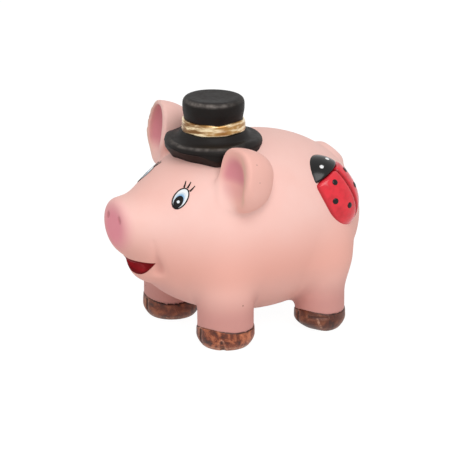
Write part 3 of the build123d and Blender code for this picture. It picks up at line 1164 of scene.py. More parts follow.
    def ear_hollow(self, points: Array, side: Side) -> Array:
        """The distance to an ear's hollow, a cup above a shallow tongue that runs to the cheek.

        Args:
            points: Points in millimetres.
            side: Which ear.

        Returns:
            The distances.
        """
        local = self.ear_axes(side).local(points)
        cup = stretched_ball(local - self.ear_cup_middle(side), self.ears[side].cup)
        lowered = local + (self.ear_tongue_shift * side.value, self.ear_tongue_drop, 0)
        return smooth_union(cup, stretched_ball(lowered, self.ear_tongue), self.ear_tongue_blend)

    def ear_lobe(self, points: Array, side: Side) -> Array:
        """The distance to an ear's whole lobe, which tapers towards the cheek.

        Args:
            points: Points in millimetres.
            side: Which ear.

        Returns:
            The distances.
        """
        sizes = self.ears[side]
        local = self.ear_axes(side).local(points)
        local[:, 0] *= 1 + sizes.taper * fade(local[:, 1], *self.ear_taper_heights)
        return squared_ball(local, sizes.radii, sizes.fullness)

    def ear(self, points: Array, side: Side) -> Array:
        """The distance to a hollowed ear, whose front edge is crisp at the tip and round below.

        Args:
            points: Points in millimetres.
            side: Which ear.

        Returns:
            The distances.
        """
        sizes = self.ears[side]
        local = self.ear_axes(side).local(points)
        chin = self.ear_chin_round * fade(local[:, 1], *self.ear_chin_heights)
        front = local[:, 2] - self.ear_front
        lobe = smooth_common(self.ear_lobe(points, side), front, sizes.edge_round + chin)
        return smooth_cut(lobe, self.ear_hollow(points, side), sizes.rim_round)

    def nostril(self, points: Array, side: Side) -> Array:
        """The distance to a nostril's dent.

        Args:
            points: Points in millimetres.
            side: Which nostril.

        Returns:
            The distances.
        """
        height = self.middle[2] + self.muzzle_rises[0] + self.nostril_rise
        at = (side.value * self.nostril_spread, self.snout_y, height)
        axes = Axes.facing(at, (1, 0, 0), (0, -1, 0), side.value * self.nostril_lean)
        return stretched_ball(axes.local(points), self.nostril_radii)

    def mouth_edges(self, across: Array) -> tuple[Array, Array]:
        """The heights of the mouth's upper and lower edge at a share of its half width."""
        lower = self.mouth_height * (1 - np.abs(across) ** self.mouth_fullness)
        return self.mouth_top - self.mouth_sag * (1 - across**2), self.mouth_top - lower

    def mouth_hollow(self, points: Array) -> Array:
        """The distance to the shallow dish of the open mouth.

        Args:
            points: Points in millimetres.

        Returns:
            The distances.
        """
        front = self.jaw_middle - (0, self.jaw_radii[1], 0)
        front[2] = self.mouth_top - self.mouth_height / 2
        return stretched_ball(points - front, self.mouth_dish)

    def face(self, points: Array) -> Array:
        """The distance to the head and body before the finer shapes are cut."""
        found = smooth_union(self.egg(points), self.muzzle(points), self.muzzle_blend)
        return smooth_union(found, self.jaw(points), self.jaw_blend)

    @cached_property
    def smile_creases(self) -> list[tuple[Array, Array]]:
        """The creases that run down from the cheeks past the mouth's corners.

        Returns:
            For each crease the places and the radii of its beads.
        """
        knots = np.array(self.smile) + (0, self.middle[1], self.middle[2])
        share = np.linspace(0, 1, self.smile_beads)[:, None]
        path = (1 - share) * (1 - 2 * share) * knots[0] + 4 * share * (1 - share) * knots[1]
        path = settle_on(self.face, path + share * (2 * share - 1) * knots[2])
        swell = self.smile_swell * fade(share, 0.0, 0.75) * fade(share, 1.0, 0.85)
        radii = swell[:, 0] - self.smile_sink
        return [(path * (side.value, 1, 1), radii) for side in Side]

    @cached_property
    def tail_beads(self) -> tuple[Array, Array]:
        """The curl of the tail, which thins to its tip.

        Returns:
            The places and the radii of its beads.
        """
        turns = np.radians(np.linspace(*self.tail_sweep, self.tail_bead_count))
        share = np.linspace(0, 1, self.tail_bead_count)
        curl = self.tail_curl * (1 - self.tail_tighten * share)
        flat = np.stack([np.cos(turns), np.sin(turns), 0 * turns], 1) * curl[:, None]
        path = self.skin_axes(self.tail_station, 0).world(flat - (0, 0, self.tail_sink))
        return path, self.tail_radius * (self.tail_tip + (1 - self.tail_tip) * fade(share, 0, 0.25))

    def skin(self, points: Array) -> Array:
        """The distance to the whole casting's skin.

        Args:
            points: Points in millimetres.

        Returns:
            The distances.
        """
        found = self.face(points)
        low, high = self.leg_blends
        blend = low + (high - low) * fade(points[:, 2], *self.leg_blend_heights)
        for end, side in FEET:
            found = smooth_union(found, self.leg(points, end, side), blend)
        for side in Side:
            found = smooth_union(found, self.ear(points, side), self.ear_blend)
        found = smooth_union(found, bead_chain(points, *self.tail_beads), self.tail_blend)
        for side in Side:
            found = smooth_cut(found, self.nostril(points, side), self.edge_round)
        for crease in self.smile_creases:
            found = smooth_cut(found, bead_chain(points, *crease), self.smile_round)
        found = smooth_cut(found, self.mouth_hollow(points), self.edge_round)
        bore = np.hypot(points[:, 0], points[:, 1] - self.middle[1]) - self.vent_radius
        return smooth_cut(found, np.maximum(bore, points[:, 2] - self.vent_top), self.vent_round)

    def rough_body(self) -> bpy.types.Object:
        """Adds a ball whose front half is stretched to the face.

        Returns:
            The rough egg.
        """
        egg = add_ball("egg", self.middle, (self.radius, self.rump_length, self.radius))
        in_edit_mode(egg)
        bpy.ops.mesh.select_all(action="DESELECT")
        bpy.ops.object.mode_set(mode="OBJECT")
        for vertex in egg.data.vertices:
            vertex.select = vertex.co.y < self.middle[1] * MM
        bpy.ops.object.mode_set(mode="EDIT")
        stretch = self.face_length / self.rump_length
        bpy.ops.transform.resize(value=(1, stretch, 1), center_override=Vector(self.middle) * MM)
        bpy.ops.object.mode_set(mode="OBJECT")
        return egg

    def rough_muzzle(self) -> bpy.types.Object:
        """Adds the muzzle as a cone that lies on its side.

        Returns:
            The rough muzzle.
        """
        length = self.muzzle_setbacks[-1]
        middle = (0, self.snout_y + length / 2, self.middle[2] + self.muzzle_rises[1])
        bpy.ops.mesh.primitive_cone_add(
            vertices=96,
            radius1=(self.snout_radius + self.muzzle_flare) * MM,
            radius2=self.snout_radius * MM,
            depth=length * MM,
            location=Vector(middle) * MM,
            rotation=(math.radians(90), 0, 0),
        )
        return newest("muzzle")

    def rough_leg(self, end: End, side: Side) -> bpy.types.Object:
        """Adds a leg as a cone from the hoof to the thigh.

        Args:
            end: Whether it is a front or a rear leg.
            side: Which of the two.

        Returns:
            The rough leg.
        """
        height = self.thigh_z - self.hoof_height
        bpy.ops.mesh.primitive_cone_add(
            vertices=96,
            radius1=self.legs[end].ankle_radius * MM,
            radius2=self.legs[end].thigh_radius * MM,
            depth=height * MM,
            location=Vector(self.foot(end, side) + (0, 0, self.hoof_height + height / 2)) * MM,
        )
        return newest("leg")

    def rough_ear(self, side: Side) -> bpy.types.Object:
        """Adds an ear as a ball cut flat in front and hollowed.

        Args:
            side: Which ear.

        Returns:
            The rough ear.
        """
        axes = self.ear_axes(side)
        lobe = add_ball("ear", (0, 0, 0), self.ears[side].radii, axes)
        in_edit_mode(lobe)
        bpy.ops.mesh.bisect(
            plane_co=Vector(axes.origin) * MM, plane_no=Vector(axes.z), use_fill=True, clear_outer=True
        )
        bpy.ops.object.mode_set(mode="OBJECT")
        cup = add_ball("cup", self.ear_cup_middle(side), self.ears[side].cup, axes)
        apply_modifier(lobe, "BOOLEAN", operation="DIFFERENCE", object=cup, solver="EXACT")
        bpy.data.objects.remove(cup)
        return lobe

    def rough_tail(self) -> bpy.types.Object:
        """Adds the tail as a ring on the rump.

        Returns:
            The rough tail.
        """
        bpy.ops.mesh.primitive_torus_add(
            major_radius=self.tail_curl * MM, minor_radius=self.tail_radius * MM
        )
        bpy.context.object.matrix_world = self.skin_axes(self.tail_station, 0).matrix
        return newest("tail")

    def rough_shapes(self) -> list[bpy.types.Object]:
        """Adds the simple closed shapes that the skin is drawn over.

        Returns:
            The shapes.
        """
        shapes = [self.rough_body(), add_ball("jaw", self.jaw_middle, self.jaw_radii)]
        shapes.append(self.rough_muzzle())
        shapes += [self.rough_leg(end, side) for end, side in FEET]
        shapes += [self.rough_ear(side) for side in Side]
        return [*shapes, self.rough_tail()]

    def tint(self, piece: bpy.types.Object, points: Array) -> None:
        """Stores where the paint is deeper, blushed or worn, and where shade is painted in: low on the
        body, on the brow, under the jaw, low on the legs and in the nostrils and smile creases.

        Args:
            piece: The casting.
            points: Its vertices, in millimetres.
        """
        spray, height = self.spray, points[:, 2]
        lit = 1 - spray.belly_relief * fade(height, *spray.belly_heights)
        brow = np.linalg.norm(points - self.middle - spray.brow, axis=1)
        throat = np.linalg.norm(points - self.jaw_middle - spray.throat, axis=1)
        # deeper low on the body, partly the spray and partly painted shade, and painted shade on the
        # brow
        deep = [fade(height, *spray.deep_heights) * lit]
        deep.append(spray.brow_strength * fade(brow, *spray.brow_reach))
        # painted shade under the jaw, low on the legs, in the nostrils and in the smile creases
        crease = [spray.throat_strength * fade(throat, *spray.throat_reach)]
        blush, worn = [], []
        for end, side in FEET:
            shin = spray.shin_strength * fade(height, *spray.shin_heights)
            crease.append(shin * fade(self.leg(points, end, side), *spray.shin_reach))
        for side in Side:
            sizes, local = self.ears[side], self.ear_axes(side).local(points)
            hollow = self.ear_hollow(points, side)
            cup = fade(local[:, 1], *np.add(sizes.blush_low, spray.blush_rise))
            reach = np.maximum(cup, spray.tongue_strength * fade(local[:, 1], *spray.tongue_heights))
            inside = fade(local[:, 2], sizes.blush_top, sizes.blush_top - spray.blush_depth)
            blush.append(spray.blush_strength * fade(hollow, *spray.blush_reach) * inside * reach)
            rim = fade(np.abs(hollow - spray.rub_inset), *spray.rub_reach)
            rim = rim * fade(local[:, 2], *spray.rub_depths)
            worn.append(spray.rub_strength * rim * fade(side.value * local[:, 0], *spray.rub_across))
            lobe = fade(self.ear_lobe(points, side), *spray.lobe_reach)
            deep.append(sizes.lobe_strength * lobe * fade(self.egg(points), *spray.lobe_standoffs))
            dent = fade(self.nostril(points, side), *spray.nostril_reach)
            crease.append(spray.nostril_strength * dent)
        for chain in self.smile_creases:
            crease.append(spray.smile_strength * fade(bead_chain(points, *chain), *spray.smile_reach))
        disc_middle = self.middle[2] + self.muzzle_rises[0] - spray.snout_drop
        disc = fade(np.hypot(points[:, 0], height - disc_middle), *spray.snout_reach)
        flat = fade(points[:, 1] - self.snout_y, *spray.snout_setbacks)
        set_attribute(piece, "snout", spray.snout_strength * flat * disc)
        layers = {"deep": deep, "blush": blush, "worn": worn, "crease": crease}
        for name, amounts in layers.items():
            set_attribute(piece, name, np.max(amounts, axis=0))

    def build(self) -> bpy.types.Object:
        """Draws one skin over the rough shapes and paints it.

        Returns:
            The finished casting.
        """
        piece = join("casting", self.rough_shapes())
        remesh(piece, self.voxel)
        set_points(piece, settle_on(self.skin, points_of(piece)))
        apply_modifier(piece, "SMOOTH", factor=0.5, iterations=4)
        points = settle_on(self.skin, points_of(piece), rounds=4)
        set_points(piece, points)
        self.tint(piece, points)
        nodes = ("body_shell", "ear_left", "ear_right", "tail")
        hand_over(piece, "pink_paint", PinkPaint().material(), *nodes)
        return piece


@dataclass
class Mouth:
    """The red paint in the open mouth. Sizes are in millimetres."""

    casting: Casting
    lift: float = 0.05
    film: float = 0.12
    start_setback: float = 6.6
    approach_steps: int = 60
    approach_share: float = 0.8
    # how far in from the edges the painted shade reaches
    shade_width: Ramp = (0.6, 0.1)

    def build(self) -> bpy.types.Object:
        """Lays a sheet in the mouth's outline on the jaw and paints it red.

        Returns:
            The finished mouth.
        """
        pig = self.casting
        bpy.ops.object.select_all(action="DESELECT")
        bpy.ops.mesh.primitive_grid_add(x_subdivisions=90, y_subdivisions=30, size=2)
        piece = newest("mouth_inside")
        across, down = points_of(piece)[:, 0] * MM, points_of(piece)[:, 1] * MM
        top, bottom = pig.mouth_edges(across)
        start = np.full(len(across), pig.snout_y + self.start_setback)
        height = top + (bottom - top) * (1 - down) / 2
        points = np.stack([across * pig.mouth_half_width, start, height], 1)
        for _ in range(self.approach_steps):
            points[:, 1] += self.approach_share * (pig.skin(points) - self.lift)
        set_points(piece, points)
        # painted shade darkens the red towards the mouth's edges
        rim = np.minimum(1 - np.abs(across), 1 - np.abs(down))
        set_attribute(piece, "pooled_paint_and_shade", fade(rim, *self.shade_width))
        apply_modifier(piece, "SOLIDIFY", thickness=self.film * MM, offset=0.0)
        face_outwards(piece, weld=0.0005)
        finish = GlossEnamel("red_mouth_enamel", "#A00F1B", "#6E0910", 0.6, ior=1.15)
        hand_over(piece, "mouth_red", finish.material(), "mouth")
        return piece


@dataclass
class TopHat:
    """The top hat: a crown, a gold band and a brim that folds down to the head, in millimetres."""

    casting: Casting
    station: float = -15.7
    rise: float = 5.7
    crown_height: float = 13.0
    crown_radius: float = 12.4
    crown_waist: float = 11.6
    crown_round: float = 2.7
    crown_sink: float = 0.6
    # strength of the wear and painted highlight on the crown's top edge
    crown_wear_and_highlight: float = 0.8
    band_height: float = 4.6
    band_thickness: float = 1.1
    band_root: float = 0.5
    band_foot: float = -0.3
    # how strongly shade is painted on the band's side turned from the key light
    band_painted_shade: float = 0.18
    brim_radius: float = 19.8
    brim_hole: float = 11.0
    brim_drop: float = 4.4
    # strength of the painted highlight along the brim's fold
    brim_painted_highlight: float = 0.5
    hem_bareness: float = 0.6
    thin_everywhere: float = 0.15
    lip_thickness: float = 4.6
    lip_lift: float = 2.6
    undercut: float = 7.8
    lifted_turn: float = math.radians(70)
    # the bearing that faces the light, where the painted highlights are strongest
    highlight_turn: float = math.radians(50)
    # the bearing of the band's side that is turned from the key light
    shaded_turn: float = math.radians(105)

    @cached_property
    def base(self) -> Array:
        """The middle of the brim's top, where the crown stands."""
        return self.casting.skin_axes(self.station, 0).origin + (0, 0, self.rise)

    def polar(self, points: Array) -> tuple[Array, Array, Array]:
        """Radius, angle and height above the brim of some points."""
        moved = points - self.base
        return np.hypot(moved[:, 0], moved[:, 1]), np.arctan2(moved[:, 1], moved[:, 0]), moved[:, 2]

    def placed(self, radius: Array, angle: Array, height: Array) -> Array:
        """Points from their radius, angle and height above the brim."""
        return self.base + np.stack([radius * np.cos(angle), radius * np.sin(angle), height], 1)

    def turn(self, name: str, corners: Sequence[Triple]) -> bpy.types.Object:
        """Turns a rounded profile on the hat's axis and smooths it.

        Args:
            name: The piece's name.
            corners: Points of radius, height above the brim and corner round.

        Returns:
            The turned piece.
        """
        profile = [(radius, self.base[2] + height) for radius, height in round_corners(corners)]
        piece = lathe(name, profile, self.base)
        apply_modifier(piece, "SUBSURF", levels=1, render_levels=1)
        return piece

    def build_crown(self, finish: bpy.types.Material) -> None:
        """Turns the crown, dents it a little and paints wear and a highlight on its top edge.

        Args:
            finish: The hat's enamel.
        """
        top, edge, waist = self.crown_height, self.crown_radius, self.crown_waist
        corners = (
            (0, top - 0.35, 0),
            (edge * 0.45, top - 0.3, 0.5),
            (edge * 0.75, top - 0.05, 0.5),
            (edge + 0.1, top - 0.05, self.crown_round),
            (edge - 0.1, top * 0.6, 0.6),
            (waist + 0.1, self.band_height, 0.6),
            (waist, -self.crown_sink, 0.2),
            (waist * 0.5, -self.crown_sink, 0.2),
            (0, -self.crown_sink, 0),
        )
        piece = self.turn("hat_crown_enamelled", corners)
        radius, angle, height = self.polar(points_of(piece))
        share = fade(height, 3, top)
        radius = radius * (1 + share * waves(angle, {2: (0.006, 0.4), 3: (0.005, 2.0)}))
        dent = 0.1 + waves(angle, {1: (0.1, 2.6), 3: (0.06, 1.0)})
        height = height - share * fade(radius, 3, edge) * dent
        set_points(piece, self.placed(radius, angle, height))
        # wear and a painted highlight on the crown's top edge, strongest on the side that faces the
        # light
        facing_light = 0.15 + 0.85 * fade(np.cos(angle + self.highlight_turn), 0.3, 0.95)
        worn_highlight = fade(np.abs(height - top + 0.9), 1.0, 0.15) * fade(radius, edge - 2.2, edge - 0.9)
        set_attribute(piece, "wear_and_highlight", self.crown_wear_and_highlight * worn_highlight * facing_light)
        set_attribute(piece, "thin_paint_and_shade", self.thin_everywhere + 0.4 * fade(height, 9, 4))
        hand_over(piece, "hat_black", finish, "hat_crown")

    def build_band(self) -> None:
        """Turns the gold band, paints its edges unevenly and paints shade on its side turned from the
        key light.
        """
        outer = self.crown_waist + self.band_thickness
        inner = self.crown_waist - self.band_root
        top, foot = self.band_height, self.band_foot
        corners = (
            (inner, top, 0),
            (outer - 0.15, top - 0.2, 0.6),
            (outer, top * 0.5, 1.0),
            (outer + 0.1, foot, 0.5),
            (inner, foot, 0),
            (inner, top, 0),
        )
        piece = self.turn("hat_band_gilded", corners)
        radius, angle, height = self.polar(points_of(piece))
        upper, lower = fade(height, 2.0, 4.2), fade(height, 2.0, 0.0)
        ragged = waves(angle, {1: (0.35, 5.4), 3: (0.25, 0.8), 5: (0.2, 2.0), 9: (0.1, 0.0)})
        height = height + upper * (ragged - 0.45)
        height = height + lower * waves(angle, {2: (0.15, 1.0), 5: (0.12, 0.5), 8: (0.1, 2.0)})
        dents = waves(angle, {4: (0.08, 1.0), 7: (0.07, 0.3)})
        radius = radius + fade(radius, inner + 0.3, outer) * dents
        set_points(piece, self.placed(radius, angle, height))
        # painted shade on the band's side that is turned from the key light
        shaded_side = fade(np.cos(angle + self.shaded_turn), 0.1, 0.8)
        set_attribute(piece, "thin_paint_and_shade", self.band_painted_shade * shaded_side)
        hand_over(piece, "hat_gold", GoldPaint().material(), "hat_band")

    def build_brim(self, finish: bpy.types.Material) -> None:
        """Turns the brim with its fold and lip and lets it wave a little.

        Args:
            finish: The hat's enamel.
        """
        fold, edge, hole = -self.brim_drop, self.brim_radius, self.brim_hole
        low = fold - self.lip_thickness
        foot = low - self.undercut
        corners = (
            (hole, 0.3, 0),
            (self.crown_waist + self.band_thickness + 0.5, -0.4, 0.6),
            (edge - 4.9, fold + 1.5, 1.2),
            (edge - 2.6, fold + 1.3, 0.9),
            (edge - 0.8, fold + 0.9, 1.0),
            (edge - 0.1, fold - 1.2, 1.0),
            (edge - 0.4, low + 2.6, 0.9),
            (edge - 0.25, low + 1.3, 0.6),
            (edge - 1.0, low + 0.1, 0.7),
            (edge - self.undercut, foot, 0.2),
            (hole, foot, 0.2),
            (hole, 0.3, 0),
        )
        piece = self.turn("hat_brim_enamelled", corners)
        radius, angle, height = self.polar(points_of(piece))
        outer, lip = fade(radius, 13.5, edge), fade(height, fold - 0.5, low)
        height = height + self.lip_lift * lip * fade(np.cos(angle + self.lifted_turn), 0.7, 1.0)
        sway = waves(angle, {2: (0.35, 1.2), 3: (0.35, 0.5), 5: (0.25, 2.0), 8: (0.12, 1.0)})
        height = height + outer * sway
        uneven = waves(angle, {3: (0.25, 1.0), 4: (0.2, 2.2), 7: (0.12, 0.5)})
        radius = radius - outer * (0.15 + uneven)
        set_points(piece, self.placed(radius, angle, height))
        # a painted highlight along the crest of the brim's fold, strongest on the side that faces the
        # light
        facing_light = 0.1 + 0.9 * fade(np.cos(angle + self.highlight_turn), 0.4, 0.95)
        crest = fade(np.abs(radius - edge + 1.5), 1.2, 0.2) * fade(height, fold - 0.6, fold + 0.4)
        set_attribute(piece, "wear_and_highlight", self.brim_painted_highlight * crest * facing_light)
        hem = self.hem_bareness * fade(lip, 0.85, 1.0)
        set_attribute(piece, "thin_paint_and_shade", np.maximum(self.thin_everywhere, hem))
        hand_over(piece, "hat_black", finish, "hat_brim")

    def build(self) -> None:
        """Builds the brim, the crown and the band."""
        finish = HatEnamel().material()
        self.build_brim(finish)
        self.build_crown(finish)
        self.build_band()


@dataclass
class Ladybird:
    """The ladybird on the rump: a head, two wing cases, six spots and two eyes, in millimetres."""

    casting: Casting
    station: float = 26.6
    turn: float = 59.0
    lean: float = 15.5
    width: float = 25.2
    length: float = 32.0
    height: float = 5.3
    fullness: float = 2.2
    seam: float = 0.3
    seam_round: float = 1.5
    neck: float = 7.9
    neck_round: float = 1.2
    head_step: float = 0.2
    head_growth: Triple = (0.6, 0.9, 0.1)
    spot_radius: float = 1.2
    spots: tuple[tuple[float, float], ...] = (
        (-5.5, 4.6),
        (-9.2, -1.6),
        (-4.8, -6.9),
        (4.8, 4.3),
        (9.6, -2.4),
        (4.6, -3.0),
    )
    eye_radius: float = 0.85
    eye_spread: float = 6.4
    eye_ahead: float = 11.9
    dot_thickness: float = 0.34
    # where painted shade darkens the wing cases: by the rump and along the seam
    shade_standoffs: Ramp = (1.6, 0.2)
    shade_seam: Ramp = (1.3, 0.4)
    floor: float = -5.5
    voxel: float = 0.3

    @cached_property
    def axes(self) -> Axes:
        """Axes on the skin, y towards the head and z out of the rump."""
        return self.casting.skin_axes(self.station, self.turn, self.lean)

    @property
    def radii(self) -> Triple:
        """The dome's half axes."""
        return self.width / 2, self.length / 2, self.width / 2

    @property
    def middle(self) -> Triple:
        """The dome's centre, in the ladybird's axes."""
        return 0, 0, self.height - self.width / 2

    def dome(self, local: Array) -> Array:
        """The distance to the whole dome."""
        return squared_ball(local - self.middle, self.radii, self.fullness)

    def head(self, local: Array) -> Array:
        """The distance to the head, a little lower than the wing cases.

        Args:
            local: Points in the ladybird's axes.

        Returns:
            The distances.
        """
        grown = np.add(self.radii, self.head_growth)
        dome = stretched_ball(local - self.middle, grown) + self.head_step
        ahead = smooth_common(dome, self.neck + self.seam / 2 - local[:, 1], self.neck_round)
        return np.maximum(ahead, self.floor - local[:, 2])

    def wing(self, local: Array, side: Side) -> Array:
        """The distance to one wing case, rounded along the seam and the neck.

        Args:
            local: Points in the ladybird's axes.
            side: The side of the axes that it lies on.

        Returns:
            The distances.
        """
        across = self.seam / 2 - side.value * local[:, 0]
        half = smooth_common(self.dome(local), across, self.seam_round)
        behind = smooth_common(half, local[:, 1] - self.neck + self.seam / 2, self.neck_round)
        return np.maximum(behind, self.floor - local[:, 2])

    def cut_dome(
        self, name: str, cuts: Sequence[tuple[Triple, Triple]], shape: Field
    ) -> bpy.types.Object:
        """Cuts a piece from the dome with planes and rounds it to a field.

        Args:
            name: The piece's name.
            cuts: For each cut a point of its plane and the direction that is cut off.
            shape: The piece's field, in the ladybird's axes, as the cuts are.

        Returns:
            The shaped piece.
        """
        piece = add_ball(name, self.middle, self.radii, self.axes)
        in_edit_mode(piece)
        for point, off in cuts:
            bpy.ops.mesh.select_all(action="SELECT")
            bpy.ops.mesh.bisect(
                plane_co=Vector(self.axes.world(point)) * MM,
                plane_no=Vector(self.axes.world(off) - self.axes.origin),
                use_fill=True,
                clear_outer=True,
            )
        bpy.ops.object.mode_set(mode="OBJECT")
        remesh(piece, self.voxel)
        rounded = settle_on(
            lambda points: shape(self.axes.local(points)), points_of(piece), rounds=12, longest=0.5
        )
        set_points(piece, rounded)
        return piece

    def build_wings(self) -> None:
        """Shapes and paints the two wing cases."""
        finish = GlossEnamel("ladybird_red_enamel", "#E42B39", "#A8121E", 0.16, ior=1.42).material()
        for side, word in ((Side.LEFT, "right"), (Side.RIGHT, "left")):
            cuts = (
                ((side.value * self.seam / 2, 0, 0), (-side.value, 0, 0)),
                ((0, self.neck - self.seam / 2, 0), (0, 1, 0)),
                ((0, 0, self.floor), (0, 0, -1)),
            )
            name = f"ladybird_{word}_wing_case"
            piece = self.cut_dome(name, cuts, lambda local, side=side: self.wing(local, side))
            points = points_of(piece)
            # painted shade where the wing cases meet the rump and along the seam
            rim = fade(self.casting.egg(points), *self.shade_standoffs)
            ridge = fade(np.abs(self.axes.local(points)[:, 0]), *self.shade_seam)
            set_attribute(piece, "pooled_paint_and_shade", np.maximum(0.8 * rim, 0.9 * ridge))
            hand_over(piece, "ladybird_red", finish, f"ladybird_{word}_wing")

    def build_head(self, finish: bpy.types.Material) -> None:
        """Shapes and paints the head.

        Args:
            finish: The black enamel.
        """
        neck = self.neck + self.seam / 2
        cuts = (((0, neck, 0), (0, -1, 0)), ((0, 0, self.floor), (0, 0, -1)))
        piece = self.cut_dome("ladybird_head_enamelled", cuts, self.head)
        set_attribute(piece, "pooled_paint_and_shade", np.zeros(len(piece.data.vertices)))
        hand_over(piece, "ladybird_black", finish, "ladybird_head")

    def dots(
        self, name: str, places: Sequence[tuple[float, float]], radius: float, shape: Field
    ) -> bpy.types.Object:
        """Sets thick round dots of paint on a field.

        Args:
            name: The piece's name.
            places: The dots' places across and along the ladybird.
            radius: Their radius.
            shape: The field that they sit on, in the ladybird's axes.

        Returns:
            All the dots as one piece.
        """
        beads = []
        for across, ahead in places:
            spot = np.array([(across, ahead, 0.0)])
            for _ in range(12):
                spot[:, 2] -= shape(spot)
            out = self.axes.world(slope_of(shape, spot))[0] - self.axes.origin
            turned = Axes.facing(self.axes.world(spot)[0], self.axes.x, out)
            beads.append(add_ball("dot", (0, 0, 0), (radius, radius, self.dot_thickness), turned))
        piece = join(name, beads)
        set_attribute(piece, "pooled_paint_and_shade", np.zeros(len(piece.data.vertices)))
        return piece

    def build(self) -> None:
        """Builds the wing cases, the head, the spots and the eyes."""
        black = GlossEnamel("ladybird_black_enamel", "#0C0A0A", "#050404", 0.2, ior=1.38).material()
        self.build_wings()
        self.build_head(black)
        spots = self.dots("ladybird_spots_enamelled", self.spots, self.spot_radius, self.dome)
        hand_over(spots, "ladybird_black", black, "ladybird_spots")
        places = [(side.value * self.eye_spread / 2, self.eye_ahead) for side in Side]
        eyes = self.dots("ladybird_eyes_enamelled", places, self.eye_radius, self.head)
        white = GlossEnamel("white_dot_enamel", "#EDEEEE", "#C9CCD0", 0.25).material()
        hand_over(eyes, "eye_white", white, "ladybird_eyes")


@dataclass
class Hoof:
    """One cloven hoof under a leg, in millimetres."""

    casting: Casting
    end: End
    side: Side
    lip: float = 0.2
    bulge: float = 0.4
    bulge_height: float = 5.0
    bulge_power: float = 1.8
    sole_inset: float = 2.4
    sole_round: float = 0.8
    rim_round: float = 0.5
    cleft_radius: float = 0.7
    groove_beads: int = 24
    # each hoof's overall darkness: painted shade on the hoofs that stand in shadow, with the dark wash
    shade_and_wash: dict[tuple[End, Side], float] = field(
        default_factory=lambda: {
            (End.FRONT, Side.LEFT): 0.0,
            (End.FRONT, Side.RIGHT): 0.34,
            (End.REAR, Side.LEFT): 0.62,
            (End.REAR, Side.RIGHT): 0.5,
        }
    )
    dab_height: float = 1.3
    front_dabs: float = 0.6
    rear_dabs: float = 0.2
    rear_scratch: float = 0.55
    voxel: float = 0.35

    @property
    def foot(self) -> Array:
        """The middle of the sole."""
        return self.casting.foot(self.end, self.side)

    @property
    def ankle(self) -> float:
        """The leg's radius just above the hoof."""
        return self.casting.legs[self.end].ankle_radius

    def reach(self, height: Array, angle: Array) -> Array:
        """The wall's radius.

        Args:
            height: Heights above the floor.
            angle: Bearings from the foot's middle, in radians.

        Returns:
            The radius at each height and bearing.
        """
        over = self.casting.hoof_height - self.bulge_height
        below = np.clip((self.bulge_height - height) / self.bulge_height, 0, 1)
        above = np.clip((height - self.bulge_height) / over, 0, 1.2)
        toe = self.casting.legs[self.end].toe_inset * fade(np.cos(angle), 0.0, 0.9)
        inset = self.sole_inset + toe
        radius = self.ankle + self.bulge - (inset + self.bulge) * below**self.bulge_power
        return radius - (self.bulge - self.lip) * above**2

    def paint_line(self, points: Array) -> Array:
        """How high the hand-painted upper edge is at the points' side of the foot."""
        return self.casting.paint_line(points, self.end, self.side)

    def wall(self, points: Array) -> Array:
        """The distance to the hoof without its grooves.

        Args:
            points: Points in millimetres.

        Returns:
            The distances.
        """
        angle = self.casting.bearing(points, self.end, self.side)
        around = np.hypot(points[:, 0] - self.foot[0], points[:, 1] - self.foot[1])
        side = around - self.reach(points[:, 2], angle)
        capped = smooth_common(side, points[:, 2] - self.paint_line(points), self.rim_round)
        return smooth_common(capped, -points[:, 2], self.sole_round)

    def groove(self, points: Array, angles: Ramp, heights: Ramp, radii: Ramp) -> Array:
        """The distance to a groove or a scratch in the wall.

        Args:
            points: Points in millimetres.
            angles: The bearings of its two ends, in degrees.
            heights: The heights of its two ends.
            radii: Its half widths at the two ends.

        Returns:
            The distances.
        """
        bearing = np.radians(np.linspace(*angles, self.groove_beads))
        height = np.linspace(*heights, self.groove_beads)
        reach = self.reach(height, bearing)
        around = [self.side.value * reach * np.sin(bearing), -reach * np.cos(bearing), height]
        path = self.foot + np.stack(around, 1)
        return bead_chain(points, path, np.linspace(*radii, self.groove_beads))

    def grooves(self, points: Array) -> Array:
        """The distance to the cleft, with a notch in a front hoof and a crack in a rear one.

        Args:
            points: Points in millimetres.

        Returns:
            The distances.
        """
        cleft = self.groove(points, (0.0, 0.0), (1.6, 7.6), (0.6, self.cleft_radius))
        if self.end is End.FRONT:
            return np.minimum(cleft, self.groove(points, (54.0, 52.0), (0.0, 4.4), (0.9, 0.3)))
        return np.minimum(cleft, self.groove(points, (34.0, 76.0), (7.0, 6.8), (0.45, 0.3)))

    def shape(self, points: Array) -> Array:
        """The distance to the finished hoof."""
        return smooth_cut(self.wall(points), self.grooves(points), self.rim_round)

    def wash(self, piece: bpy.types.Object, points: Array) -> None:
        """Stores where the dark wash and painted shade lie, and where the dry brush caught and
        highlights are painted.

        Args:
            piece: The hoof.
            points: Its vertices, in millimetres.
        """
        height, gap = points[:, 2], self.grooves(points)
        # a painted shadow just under the pink edge of the leg
        line = 0.95 * fade(self.paint_line(points) - height, 0.6, 0.2)
        # dark wash and painted shade in the grooves
        dark = np.maximum(fade(gap, 0.35, -0.1), line)
        # darker overall on the hoofs in shadow: painted shade with the dark wash
        set_attribute(piece, "groove", np.maximum(dark, self.shade_and_wash[self.end, self.side]))
        dabs = fade(np.abs(height - self.dab_height), 1.0, 0.2) * fade(height, 0.2, 0.8)
        # pale beside the grooves, dry brush with painted highlights, and dry-brush dabs near the sole
        caught = np.maximum(fade(np.abs(gap - 0.6), 0.35, 0.05), dabs)
        if self.end is End.FRONT:
            set_attribute(piece, "edge", self.front_dabs * caught)
            return
        scratch = fade(self.groove(points, (54.0, 63.0), (6.2, 2.2), (0.25, 0.3)), 0.35, 0.0)
        edge = np.maximum(self.rear_dabs * caught, self.rear_scratch * scratch)
        set_attribute(piece, "edge", edge)

